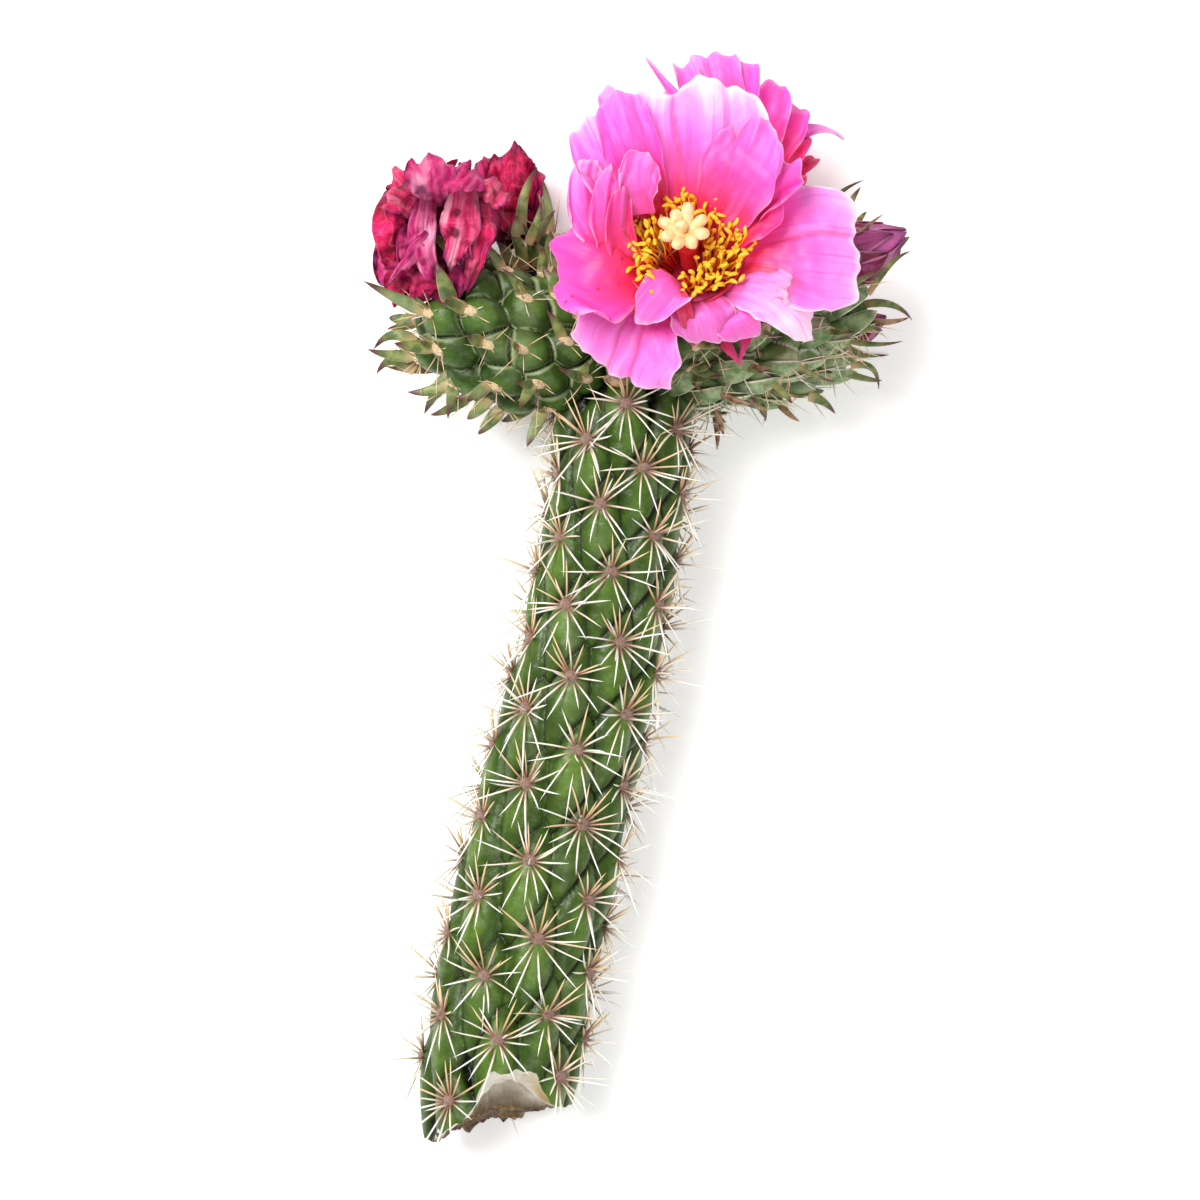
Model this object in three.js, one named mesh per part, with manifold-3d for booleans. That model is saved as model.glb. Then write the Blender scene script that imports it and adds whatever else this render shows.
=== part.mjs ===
// A cut joint of cane cholla in flower, lying on its back on a flat surface.
// Millimetres. +Z is up off the surface, +Y runs from the cut end to the flowers, +X is to the right.
import * as THREE from "three";
import { mergeVertices } from "three/addons/utils/BufferGeometryUtils.js";
import Module from "manifold-3d";

const wasm = await Module();
wasm.setup();
const { Manifold } = wasm;

// The stem: its middle line leans left as it goes down from its top to its cut end
const STEM_LENGTH = 148;
const STEM_TOP = { x: -4.1, y: 45, z: 22.6 };
const STEM_BASE_HEIGHT = 13.6;
const STEM_LEAN = 66.3;
const STEM_RETURN = 40.6;
const TOP_RADIUS = 14.2;
const BASE_RADIUS = 16.6;
const VALLEY_DEPTH = 3.1;
const STEM_SIDES = 23;
const STEM_RINGS = 36;

// Areoles stand on one spiral, a golden turn apart
const GOLDEN_TURN = 137.28;
const AREOLES = 83;
const FIRST_AREOLE_TURN = 87.65;
const AREOLE_START = 1;
const AREOLE_STEP = 1.56;
const AREOLE_STRETCH = 0.00235;
const STEM_SPINES = 5;
const SPINE_LENGTH = 9.6;

// Sizes shared by the pieces
const GAP = 0.42;
const BLADE = 0.9;
const LEAF_LENGTH = 10;
const LEAF_WIDTH = 2.6;
const LOWEST_SPINE = 0.4;

// The open flower, which leans towards the top of the stem's line
const THROAT = { x: 9.1, y: 67.2, z: 48.4 };
const BLOOM_LEAN = 20;
const CUP_RADIUS = 8.6;
const STAMENS = 24;
const STYLE_LENGTH = 15;
const STIGMA_LOBES = 6;

// The middle of the whole part, which is set over the origin
const MIDDLE = { x: -1.5, y: 0.8 };

const TAU = Math.PI * 2;
const rad = (degrees) => (degrees * Math.PI) / 180;
const clamp01 = (x) => Math.min(1, Math.max(0, x));
const mix = (a, b, share) => a + (b - a) * share;
const vec = (x, y, z) => new THREE.Vector3(x, y, z);
const from = (at) => vec(at.x, at.y, at.z);

function smooth(low, high, x) {
  const share = clamp01((x - low) / (high - low));
  return share * share * (3 - 2 * share);
}

// A repeatable number from 0 to 1 for each seed
function scatter(seed) {
  const wave = Math.sin(seed * 12.9898 + 4.1) * 43758.5453;
  return wave - Math.floor(wave);
}

const spread = (seed) => 2 * scatter(seed) - 1;

// Solids

function solidOf(geometry) {
  const bare = geometry.clone();
  bare.deleteAttribute("normal");
  bare.deleteAttribute("uv");
  const merged = mergeVertices(bare, 1e-4);
  const build = (triVerts) =>
    new Manifold(
      new wasm.Mesh({
        numProp: 3,
        vertProperties: new Float32Array(merged.attributes.position.array),
        triVerts: new Uint32Array(triVerts),
      }),
    );
  const made = build(merged.index.array);
  return made.volume() > 0 ? made : build(Array.from(merged.index.array).reverse());
}

function solidFrom(points, faces) {
  const geometry = new THREE.BufferGeometry().setFromPoints(points);
  geometry.setIndex(faces);
  return solidOf(geometry);
}

function largest(solid) {
  return solid.decompose().reduce((best, body) => (body.volume() > best.volume() ? body : best));
}

// Tiny edges that a join leaves are closed up, and a scrap that hangs on nothing is dropped
const SMALLEST_STEP = 0.15;
const join = (solids) => largest(Manifold.union(solids).simplify(SMALLEST_STEP));

const evenly = (count) => Array.from({ length: count + 1 }, (_, j) => j / count);

// A body closed on a pole at both ends: pointAt(turn, along) gives its surface
function closedSkin(pointAt, sides, stations) {
  const last = stations.length - 1;
  const points = [pointAt(0, stations[0])];
  for (let j = 1; j < last; j++) {
    for (let i = 0; i < sides; i++) points.push(pointAt((i / sides) * TAU, stations[j]));
  }
  points.push(pointAt(0, stations[last]));
  const at = (j, i) => 1 + (j - 1) * sides + (i % sides);
  const faces = [];
  for (let i = 0; i < sides; i++) {
    faces.push(0, at(1, i), at(1, i + 1));
    faces.push(points.length - 1, at(last - 1, i + 1), at(last - 1, i));
    for (let j = 1; j < last - 1; j++) {
      faces.push(at(j, i), at(j + 1, i), at(j, i + 1));
      faces.push(at(j + 1, i), at(j + 1, i + 1), at(j, i + 1));
    }
  }
  return solidFrom(points, faces);
}

// A tapered tube along a few points, flat at its root and pointed at its tip
function horn(path, radii, sides, flatness = 1) {
  const points = [path[0].clone()];
  const last = path.length - 1;
  for (let j = 0; j < last; j++) {
    const run = path[j + 1].clone().sub(path[Math.max(0, j - 1)]).normalize();
    const level = Math.abs(run.z) > 0.8 ? vec(1, 0, 0) : vec(0, 0, 1);
    const across = run.clone().cross(level).normalize();
    const over = across.clone().cross(run);
    for (let i = 0; i < sides; i++) {
      const turn = (i / sides) * TAU;
      const point = path[j].clone().addScaledVector(across, Math.cos(turn) * radii[j]);
      points.push(point.addScaledVector(over, Math.sin(turn) * radii[j] * flatness));
    }
  }
  points.push(path[last].clone());
  const at = (j, i) => 1 + j * sides + (i % sides);
  const faces = [];
  for (let i = 0; i < sides; i++) {
    faces.push(0, at(0, i), at(0, i + 1));
    faces.push(points.length - 1, at(last - 1, i + 1), at(last - 1, i));
    for (let j = 0; j < last - 1; j++) {
      faces.push(at(j, i), at(j + 1, i), at(j, i + 1));
      faces.push(at(j + 1, i), at(j + 1, i + 1), at(j, i + 1));
    }
  }
  return solidFrom(points, faces);
}

// A thin blade of even thickness about the surface pointAt(across, along), split alike on both faces
function blade(pointAt, cells, rows, thickness) {
  const at = (j, i) => j * (cells + 1) + i;
  const grid = [];
  for (let j = 0; j <= rows; j++) {
    for (let i = 0; i <= cells; i++) grid.push(pointAt((2 * i) / cells - 1, j / rows));
  }
  const facing = grid.map((_, n) => {
    const i = n % (cells + 1);
    const j = Math.floor(n / (cells + 1));
    const sideways = grid[at(j, Math.min(cells, i + 1))].clone().sub(grid[at(j, Math.max(0, i - 1))]);
    const lengthways = grid[at(Math.min(rows, j + 1), i)].clone().sub(grid[at(Math.max(0, j - 1), i)]);
    return sideways.cross(lengthways).normalize().multiplyScalar(thickness / 2);
  });
  const points = grid.map((p, n) => p.clone().add(facing[n]));
  points.push(...grid.map((p, n) => p.clone().sub(facing[n])));
  const under = grid.length;
  const faces = [];
  for (let j = 0; j < rows; j++) {
    for (let i = 0; i < cells; i++) {
      const [a, b, c, d] = [at(j, i), at(j, i + 1), at(j + 1, i + 1), at(j + 1, i)];
      faces.push(a, b, c, a, c, d);
      faces.push(under + a, under + c, under + b, under + a, under + d, under + c);
    }
  }
  const rim = [];
  for (let i = 0; i < cells; i++) rim.push([at(0, i + 1), at(0, i)], [at(rows, i), at(rows, i + 1)]);
  for (let j = 0; j < rows; j++) rim.push([at(j, 0), at(j + 1, 0)], [at(j + 1, cells), at(j, cells)]);
  for (const [a, b] of rim) faces.push(a, b, under + b, a, under + b, under + a);
  return solidFrom(points, faces);
}

// A ring or bowl turned about a flower's axis, from points of reach and height
function turned(frame, profile, sides) {
  const outline = profile.map(([reach, height]) => new THREE.Vector2(reach, height));
  const lathe = new THREE.LatheGeometry(outline, sides);
  const basis = new THREE.Matrix4().makeBasis(frame.side, frame.out, frame.up.clone().negate());
  return solidOf(lathe.applyMatrix4(basis.setPosition(frame.origin)));
}

// Green bodies: a smooth core with tubercles that swell round their areoles

function frameAt(core, turn, along) {
  const step = 1e-3;
  const lengthwise = core(turn, along + step).sub(core(turn, along - step)).normalize();
  const crosswise = core(turn + step, along).sub(core(turn - step, along)).normalize();
  const outward = lengthwise.clone().cross(crosswise).normalize();
  return { position: core(turn, along), lengthwise, crosswise, outward };
}

function greenBody(core, areoles, tubercle) {
  const sites = areoles.map(({ turn, along }) => ({ along, ...frameAt(core, turn, along) }));
  const middles = sites.map((site) => site.position.clone().addScaledVector(site.lengthwise, tubercle.shift));
  const swell = (point) => {
    let sum = 0;
    sites.forEach((site, k) => {
      const apart = point.clone().sub(middles[k]);
      const far =
        (apart.dot(site.lengthwise) / tubercle.halfLength) ** 2 +
        (apart.dot(site.crosswise) / tubercle.halfWidth) ** 2 +
        (apart.dot(site.outward) / tubercle.halfLength) ** 2;
      if (far < 1) sum += (1 - far) ** 3;
    });
    return tubercle.height * Math.cbrt(sum);
  };
  const surface = (turn, along, extra = 0) => {
    const { position, outward } = frameAt(core, turn, Math.min(0.998, Math.max(0.002, along)));
    const lifted = core(turn, along);
    return lifted.addScaledVector(outward, swell(position) + extra);
  };
  const skin = (sides, stations, extra = 0) =>
    closedSkin((turn, along) => surface(turn, along, extra), sides, stations);
  return { sites, swell, skin };
}

// The stem

const CROWN = 0.05;
const CUT = 0.99;
const ABOVE_TOP = 0.03;

function stemMiddle(t) {
  const x = STEM_TOP.x - STEM_LEAN * t * t + STEM_RETURN * t * t * t;
  return vec(x, STEM_TOP.y - STEM_LENGTH * t, mix(STEM_TOP.z, STEM_BASE_HEIGHT, t));
}

// The cut slants, so the stem is longer underneath and on its left, and its rim is ragged
function cutEnd(turn) {
  const slant = -0.01 - 0.047 * Math.cos(turn) - 0.018 * Math.sin(turn);
  return 1 + slant + 0.007 * Math.sin(3 * turn + 1) + 0.004 * Math.sin(7 * turn);
}

function stemCore(turn, along) {
  const domed = clamp01(1 - along / CROWN);
  const capped = along > CUT ? (1 - along) / (1 - CUT) : 1;
  const narrowed = Math.sqrt(Math.max(0, 1 - domed * domed)) * capped;
  const rim = mix(1, cutEnd(turn), smooth(0.8, CUT, along) * capped);
  const t = mix(-ABOVE_TOP, rim, Math.min(along, CUT) / CUT);
  const radius = (mix(TOP_RADIUS, BASE_RADIUS, smooth(0.2, 0.85, t)) - VALLEY_DEPTH) * narrowed;
  const run = stemMiddle(t + 0.01).sub(stemMiddle(t - 0.01)).normalize();
  const right = vec(0, 0, 1).cross(run).normalize();
  const front = run.clone().cross(right);
  const out = right.multiplyScalar(Math.sin(turn)).addScaledVector(front, Math.cos(turn));
  return stemMiddle(t).addScaledVector(out, radius);
}

const stemAreoles = Array.from({ length: AREOLES }, (_, k) => {
  const down = AREOLE_START + AREOLE_STEP * k + AREOLE_STRETCH * k * k;
  const t = down / (STEM_LENGTH * 1.019);
  return { turn: rad(FIRST_AREOLE_TURN + GOLDEN_TURN * k), along: ((t + ABOVE_TOP) / (1 + ABOVE_TOP)) * CUT };
}).filter((areole) => areole.along < 0.97);

const stem = greenBody(stemCore, stemAreoles, {
  halfLength: 9.4,
  halfWidth: 6,
  height: VALLEY_DEPTH,
  shift: 3.6,
});
const stemStations = [0, 0.012, 0.03, ...evenly(STEM_RINGS).slice(3, -1), CUT, 1];

// Fruits: each is top-shaped, from its foot on the stem to the hollow that its flower sits in

function fruitCore(spec) {
  const foot = from(spec.foot);
  const axis = from(spec.tip).sub(foot);
  const length = axis.length();
  axis.normalize();
  const right = vec(0, 0, 1).cross(axis).normalize();
  const front = axis.clone().cross(right);
  return (turn, along) => {
    const round = Math.pow(Math.sin(Math.PI * clamp01(along)), 0.72);
    const radius = spec.radius * round * mix(0.66, 1, smooth(0.05, 0.6, along));
    const share = (1 - Math.cos(Math.PI * along)) / 2;
    const hollow = spec.hollow * smooth(0.84, 1, along);
    const out = right.clone().multiplyScalar(Math.sin(turn)).addScaledVector(front, Math.cos(turn));
    return foot.clone().addScaledVector(axis, share * length - hollow).addScaledVector(out, radius);
  };
}

function fruitAreoles(spec) {
  return Array.from({ length: spec.tubercles }, (_, k) => ({
    turn: rad(GOLDEN_TURN * k + spec.phase),
    along: Math.acos(1 - 2 * mix(0.14, 0.93, (k + 0.5) / spec.tubercles)) / Math.PI,
  }));
}

function fruitBody(spec) {
  const wide = spec.tubercleWidth;
  const tubercle = { halfLength: wide * 0.8, halfWidth: wide * 0.62, height: 2.2, shift: -wide * 0.16 };
  return greenBody(fruitCore(spec), fruitAreoles(spec), tubercle);
}

const FRUITS = [
  {
    name: "left_front_fruit", foot: { x: -7, y: 45, z: 24.5 }, tip: { x: -45, y: 61.5, z: 26 },
    radius: 12.4, hollow: 2.4, tubercles: 36, tubercleWidth: 8.8, phase: 20, sides: 22, rings: 12,
  },
  {
    name: "right_front_fruit", foot: { x: -1, y: 44, z: 24 }, tip: { x: 43, y: 63.5, z: 25 },
    radius: 9.4, hollow: 2, tubercles: 38, tubercleWidth: 8, phase: 70, sides: 16, rings: 12,
  },
  {
    name: "left_back_fruit", foot: { x: -8, y: 46, z: 13 }, tip: { x: -27, y: 74, z: 8.6 },
    radius: 10, hollow: 2, tubercles: 20, tubercleWidth: 8.8, phase: 140, sides: 13, rings: 8,
  },
  {
    name: "right_back_fruit", foot: { x: 2, y: 46, z: 12 }, tip: { x: 42, y: 55.5, z: 7.2 },
    radius: 8.4, hollow: 1.6, tubercles: 22, tubercleWidth: 8, phase: 210, sides: 12, rings: 9,
  },
  {
    name: "back_fruit", foot: { x: -2, y: 50, z: 16 }, tip: { x: 19, y: 77, z: 15 },
    radius: 9.2, hollow: 2, tubercles: 18, tubercleWidth: 8.8, phase: 320, sides: 12, rings: 8,
  },
  {
    name: "centre_fruit", foot: { x: 0, y: 49, z: 26.6 }, tip: { x: 9, y: 66, z: 46.6 },
    radius: 9.4, hollow: 3.6, tubercles: 18, tubercleWidth: 8.4, phase: 250, sides: 12, rings: 8,
  },
];

const floorSlab = solidOf(new THREE.BoxGeometry(500, 500, 40).translate(0, 0, -20));
const cutBack = (solid, others) =>
  largest(others.reduce((left, other) => left.subtract(other), solid)).simplify(SMALLEST_STEP);

// Each body stands clear of those before it, by the gap that their swollen shapes leave
const swollen = [floorSlab, stem.skin(STEM_SIDES, stemStations, GAP)];
const fruits = FRUITS.map((spec) => {
  const body = fruitBody(spec);
  const solid = cutBack(body.skin(spec.sides, evenly(spec.rings)), swollen);
  swollen.push(body.skin(spec.sides, evenly(spec.rings), GAP));
  const axis = from(spec.tip).sub(from(spec.foot)).normalize();
  return { ...body, axis, spec, solid };
});

// The cut end: a shallow dish with uneven walls, lined with pale flesh

const CUT_FACING = vec(0.16, -0.9, 0.4).normalize();
const CUT_MIDDLE = stemMiddle(0.985);
const DISH_RADIUS = 19;
const DISH_DEPTH = 6;
const FLESH_THICKNESS = 1.6;

function dish(radius) {
  const centre = CUT_MIDDLE.clone().addScaledVector(CUT_FACING, DISH_RADIUS - DISH_DEPTH);
  const wall = (turn, along) => {
    const tall = Math.PI * along;
    const lumps = 0.5 * Math.sin(3 * turn + 5 * tall) + 0.35 * Math.sin(7 * turn - 6 * tall);
    const reach = radius + lumps * Math.sin(tall);
    const level = Math.sin(tall) * reach;
    return centre.clone().add(vec(Math.sin(turn) * level, Math.cos(turn) * level, Math.cos(tall) * reach));
  };
  return closedSkin(wall, 16, evenly(10));
}

const stemBare = cutBack(stem.skin(STEM_SIDES, stemStations), [floorSlab, dish(DISH_RADIUS)]);
const cutFlesh = cutBack(stem.skin(16, evenly(20), -1.1).intersect(dish(DISH_RADIUS - GAP)), [
  dish(DISH_RADIUS - GAP - FLESH_THICKNESS),
]);

// Flowers

// The axes of a flower: out of its throat, to its side, and towards its petal at a quarter turn
function flowerFrame(origin, axis, reference) {
  const out = axis.clone().normalize();
  const side = reference.clone().cross(out).normalize();
  return { origin, out, side, up: out.clone().cross(side) };
}

function placeIn(frame, turn, reach, height, sideways = 0) {
  const right = Math.cos(turn) * reach - Math.sin(turn) * sideways;
  const ahead = Math.sin(turn) * reach + Math.cos(turn) * sideways;
  const point = frame.origin.clone().addScaledVector(frame.side, right);
  return point.addScaledVector(frame.up, ahead).addScaledVector(frame.out, height);
}

const PROFILE_STEPS = 24;
const BASE_WIDTH = 0.22;

// A petal leaves the throat at one slope and ends at another, widens to a round tip and ruffles there
function petalSurface(frame, petal) {
  const profile = [[petal.root, petal.base]];
  for (let j = 1; j <= PROFILE_STEPS; j++) {
    const slope = rad(mix(petal.rise, petal.flare, smooth(0, 1, (j - 0.5) / PROFILE_STEPS)));
    const step = petal.length / PROFILE_STEPS;
    const [reach, height] = profile[j - 1];
    profile.push([reach + Math.cos(slope) * step, height + Math.sin(slope) * step]);
  }
  return (across, along) => {
    const place = clamp01(along) * PROFILE_STEPS;
    const j = Math.min(PROFILE_STEPS - 1, Math.floor(place));
    const reach = mix(profile[j][0], profile[j + 1][0], place - j);
    const height = mix(profile[j][1], profile[j + 1][1], place - j);
    const tipped = clamp01((along - petal.widest) / (1 - petal.widest));
    const round = Math.sqrt(1 - 0.94 * tipped * tipped);
    const half = (petal.width / 2) * mix(BASE_WIDTH, 1, smooth(0, 0.66, along)) * round;
    const slope = rad(mix(petal.rise, petal.flare, smooth(0, 1, along)));
    const cupped = petal.cup * across * across * half * smooth(0, 0.5, along);
    const frill = petal.ruffle * along * along * Math.sin(across * petal.waves + petal.phase);
    const lift = cupped + frill;
    const turn = rad(petal.turn + petal.skew * along);
    const [out, up] = [reach - Math.sin(slope) * lift, height + Math.cos(slope) * lift];
    return placeIn(frame, turn, out, up, across * half);
  };
}

const petalBlades = (frame, petals, cells, rows) =>
  petals.map((petal) => blade(petalSurface(frame, petal), cells, rows, BLADE));

const bloomAxis = vec(-0.09, Math.sin(rad(BLOOM_LEAN)), Math.cos(rad(BLOOM_LEAN)));
const bloom = flowerFrame(from(THROAT), bloomAxis, vec(0, 1, 0));

const petalRow = (common) => ([turn, length, width, rise, flare, cup, ruffle, waves, phase, skew]) => ({
  turn, length, width, rise, flare, cup, ruffle, waves, phase, skew, ...common,
});

// Turn, length, width, rise, flare, cup, ruffle, waves, phase and skew of each petal
const LOWER_PETALS = [
  [90, 28, 31, 50, 14, 0.08, 1, 4, 0.4, 0],
  [6, 30, 25, 42, 2, 0.08, 1.2, 4, 1.2, 4],
  [-34, 25, 18, 40, -30, 0.1, 1.4, 5, 2.6, 0],
  [-127, 22, 24, 20, -36, 0.04, 1, 4, 1.8, 2],
  [-170, 21, 20, 42, 4, 0.1, 1.2, 5, 0.2, 0],
  [134, 28, 17, 50, 26, 0.18, 1.2, 5, 2.2, 0],
].map(petalRow({ root: 7.8, base: 0.5, widest: 0.7 }));

const UPPER_PETALS = [
  [50, 26, 24, 60, 22, 0.12, 1.2, 4, 2, -3],
  [-68, 17, 17, 62, -10, 0.14, 1.6, 5, 0.8, 3],
  [-146, 21, 20, 54, 4, 0.1, 1.2, 5, 1.3, 0],
  [162, 23, 17, 62, 26, 0.18, 1.4, 5, 1.4, 0],
].map(petalRow({ root: 6.8, base: 1.4, widest: 0.7 }));

const INNER_PETALS = [
  [80, 21, 17, 70, 46, 0.2, 1.2, 5, 0.9, 0],
  [24, 18, 15, 68, 44, 0.2, 1.2, 5, 1.9, 0],
  [-104, 13, 14, 70, 40, 0.2, 1.4, 5, 2.7, 0],
  [132, 19, 14, 72, 54, 0.25, 1.4, 5, 0.6, 0],
].map(petalRow({ root: 5.8, base: 1.2, widest: 0.7 }));

const CRIMSON_TEPALS = [
  [-58, 19, 7, 8, -34, 0.1, 0.3, 3, 0, 0],
  [-76, 17, 6, 4, -30, 0.1, 0.3, 3, 1, 0],
  [-20, 18, 7, 10, -16, 0.1, 0.3, 3, 2, 0],
].map(petalRow({ root: 7, base: -0.4, widest: 0.35 }));

function cup(frame, radius) {
  const outside = [[0, -3], [radius * 0.7, -2.4], [radius, 0.9]];
  const inside = [[radius * 0.9, 1.9], [radius * 0.8, 0.6], [0, 0.6]];
  return turned(frame, [...outside, ...inside], 12);
}

const bloomPetals = cutBack(
  join([
    cup(bloom, CUP_RADIUS),
    ...petalBlades(bloom, LOWER_PETALS, 4, 4),
    ...petalBlades(bloom, UPPER_PETALS, 3, 4),
    ...petalBlades(bloom, INNER_PETALS, 2, 3),
    ...petalBlades(bloom, CRIMSON_TEPALS, 1, 3),
  ]),
  swollen,
);

// Stamens rise from a ring round the style, and each ends in a small anther
const stamenRing = turned(bloom, [[2.2, 1.1], [4.5, 1.1], [4.5, 2], [2.2, 2.4], [2.2, 1.1]], 12);

function stamen(k, reachScale, thicker) {
  const turn = rad(GOLDEN_TURN * k);
  const share = Math.sqrt((k + 0.5) / STAMENS);
  const reach = mix(4, 12.5, share) * reachScale;
  const height = mix(11, 6.5, share) + 1.4 * spread(k);
  const root = placeIn(bloom, turn, mix(2.9, 3.8, share), 1.7);
  const belly = placeIn(bloom, turn + 0.05 * spread(k + 9), reach + 0.3, height);
  const tip = placeIn(bloom, turn, reach + 0.5, height + 1.1 + thicker);
  return horn([root, belly, tip], [0.4 + thicker, 0.7 + thicker, 0], 3);
}

// A three-sided spike is tested at this much more than its own girth, so that its flats keep the gap
const PROBE_MARGIN = 2.2 * GAP;

// The first of several tries that stands clear of the others, or nothing
function firstClear(tries, others, make) {
  for (const given of tries) {
    const probe = make(given, PROBE_MARGIN);
    const apart = others.every((other) => probe.intersect(other).isEmpty());
    if (apart && probe.boundingBox().min[2] > 0) return make(given, 0);
  }
  return null;
}

const stamens = Array.from({ length: STAMENS }, (_, k) =>
  firstClear([1, 0.85, 0.7, 0.55, 0.4], [bloomPetals], (scale, thicker) => stamen(k, scale, thicker)),
).filter(Boolean);
const bloomStamens = cutBack(join([stamenRing, ...stamens]), swollen);

const styleFoot = [[0, 1], [1.5, 1], [1.3, STYLE_LENGTH * 0.5]];
const styleHead = [[1.75, STYLE_LENGTH - 1], [1.2, STYLE_LENGTH], [0, STYLE_LENGTH]];
const bloomStyle = turned(bloom, [...styleFoot, ...styleHead], 8);

const STIGMA_HEIGHT = STYLE_LENGTH + GAP;

function stigmaLobe(turn, lean) {
  const axis = placeIn(bloom, turn, Math.sin(lean), Math.cos(lean)).sub(bloom.origin);
  const side = placeIn(bloom, turn + Math.PI / 2, 1, 0).sub(bloom.origin);
  const over = axis.clone().cross(side);
  const root = placeIn(bloom, turn, 0.3, STIGMA_HEIGHT + 0.9);
  return closedSkin(
    (around, along) => {
      const wide = 1.9 * Math.sin(Math.PI * along) ** 0.8;
      const point = root.clone().addScaledVector(axis, mix(-0.5, 5.2, along));
      point.addScaledVector(side, Math.cos(around) * wide);
      return point.addScaledVector(over, Math.sin(around) * wide);
    },
    5,
    evenly(3),
  );
}

const STIGMA_SPREAD = 62;
const stigmaSeat = turned(bloom, [[0, STIGMA_HEIGHT], [1.5, STIGMA_HEIGHT], [0, STIGMA_HEIGHT + 3]], 8);
const stigmaLobes = Array.from({ length: STIGMA_LOBES }, (_, k) =>
  stigmaLobe((TAU * k) / STIGMA_LOBES, rad(STIGMA_SPREAD)),
);
const bloomStigma = join([stigmaSeat, stigmaLobe(0, 0), ...stigmaLobes]);

// A wilted flower: crumpled petals gathered round a small core
function wiltedBloom(foot, head, radius, count, seed) {
  const axis = from(head).sub(from(foot));
  const length = axis.length();
  const frame = flowerFrame(from(foot), axis, vec(1, 0, 0));
  const coreAt = (turn, along) =>
    placeIn(frame, turn, radius * 0.42 * Math.sin(Math.PI * along) ** 0.6, mix(-2, length * 0.7, along));
  const petals = Array.from({ length: count }, (_, k) => ({
    turn: GOLDEN_TURN * k,
    length: length * mix(0.95, 1.25, scatter(seed + k)),
    width: radius * mix(0.9, 1.3, scatter(seed + k + 40)),
    rise: mix(42, 66, scatter(seed + k + 80)),
    flare: mix(86, 118, scatter(seed + k + 120)),
    cup: 0.3 * spread(seed + k + 160),
    ruffle: radius * mix(0.12, 0.2, scatter(seed + k + 200)),
    waves: mix(4, 6, scatter(seed + k + 240)),
    phase: TAU * scatter(seed + k + 280),
    skew: 26 * spread(seed + k + 320),
    root: radius * 0.2,
    base: -1,
    widest: 0.6,
  }));
  return join([closedSkin(coreAt, 8, evenly(5)), ...petalBlades(frame, petals, 3, 3)]);
}

const WILTED = [
  {
    name: "left_front_wilted_bloom", foot: { x: -43.5, y: 62.5, z: 27 }, head: { x: -38, y: 86, z: 33 },
    radius: 12, petals: 7, seed: 3,
  },
  {
    name: "left_back_wilted_bloom", foot: { x: -27, y: 73.6, z: 8.8 }, head: { x: -27.5, y: 91, z: 12.5 },
    radius: 8, petals: 5, seed: 17,
  },
];
const wilted = WILTED.map((w) => ({
  ...w,
  solid: cutBack(wiltedBloom(w.foot, w.head, w.radius, w.petals, w.seed), swollen),
}));

// A bud: a pointed body whose furled tepals leave turning ridges
function bud(spec) {
  const axis = from(spec.tip).sub(from(spec.foot));
  const length = axis.length();
  const frame = flowerFrame(from(spec.foot), axis, vec(0, 0, 1));
  const pointAt = (turn, along) => {
    const ridge = 1 + 0.12 * Math.sin(5 * turn + 4 * along);
    const reach = spec.radius * Math.sin(Math.PI * along ** 0.75) ** 0.8 * ridge;
    return placeIn(frame, turn, reach, mix(-1.5, length, along));
  };
  return closedSkin(pointAt, 10, evenly(6));
}

const BUDS = [
  {
    name: "right_front_bud", radius: 5,
    foot: { x: 43, y: 63.5, z: 25.2 }, tip: { x: 51, y: 77, z: 29 },
  },
  {
    name: "right_back_bud", radius: 3.6,
    foot: { x: 42, y: 55.5, z: 7.4 }, tip: { x: 49.4, y: 58.5, z: 10.4 },
  },
];
const buds = BUDS.map((spec) => ({ ...spec, solid: cutBack(bud(spec), swollen) }));

// The second open flower faces away from the viewer, up past the end of its fruit
const backBloom = flowerFrame(vec(19.2, 77.6, 15.6), vec(0.2, 0.95, 0.3), vec(0, 0, -1));
const BACK_PETALS = [
  [180, 33, 15, 74, 46, 0.2, 1.6, 5, 0.4, 0],
  [216, 27, 18, 76, 62, 0.2, 1.6, 5, 1.4, 3],
  [262, 27, 20, 78, 96, 0.16, 1.8, 5, 2.4, 0],
  [306, 27, 18, 74, 56, 0.2, 1.6, 5, 0.2, -4],
  [348, 27, 14, 66, 14, 0.2, 1.4, 5, 1.9, 0],
  [52, 24, 16, 78, 62, 0.2, 1.4, 5, 0.9, 0],
  [118, 26, 17, 80, 70, 0.2, 1.4, 5, 1.1, 0],
].map(petalRow({ root: 4.6, base: 0.8, widest: 0.7 }));
const backPetals = cutBack(join([cup(backBloom, 6), ...petalBlades(backBloom, BACK_PETALS, 3, 3)]), swollen);

// Leaves and spines

// A fleshy leaf at a fruit's areole; bent turns it aside so that it can pass its neighbours
function leaf(site, axis, seed, bent, thicker) {
  const length = LEAF_LENGTH * mix(0.75, 1.15, scatter(seed)) * mix(0.85, 1.25, site.along);
  const forward = 0.2 + 0.9 * site.along + 0.3 * spread(seed + 2);
  const heading = site.outward.clone().addScaledVector(axis, forward);
  heading.addScaledVector(site.crosswise, bent + 0.3 * spread(seed + 1)).normalize();
  const curl = axis.clone().addScaledVector(site.outward, -0.6).multiplyScalar(length * 0.2);
  const root = site.position.clone().addScaledVector(site.outward, 0.5);
  const at = (share, further = 0) => {
    const point = root.clone().addScaledVector(heading, length * share + further);
    return point.addScaledVector(curl, share * share);
  };
  const girth = LEAF_WIDTH / 2 + thicker;
  return horn([at(0, -thicker), at(0.5), at(1, thicker)], [girth, girth * 0.85, 0], 3, 0.85);
}

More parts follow.
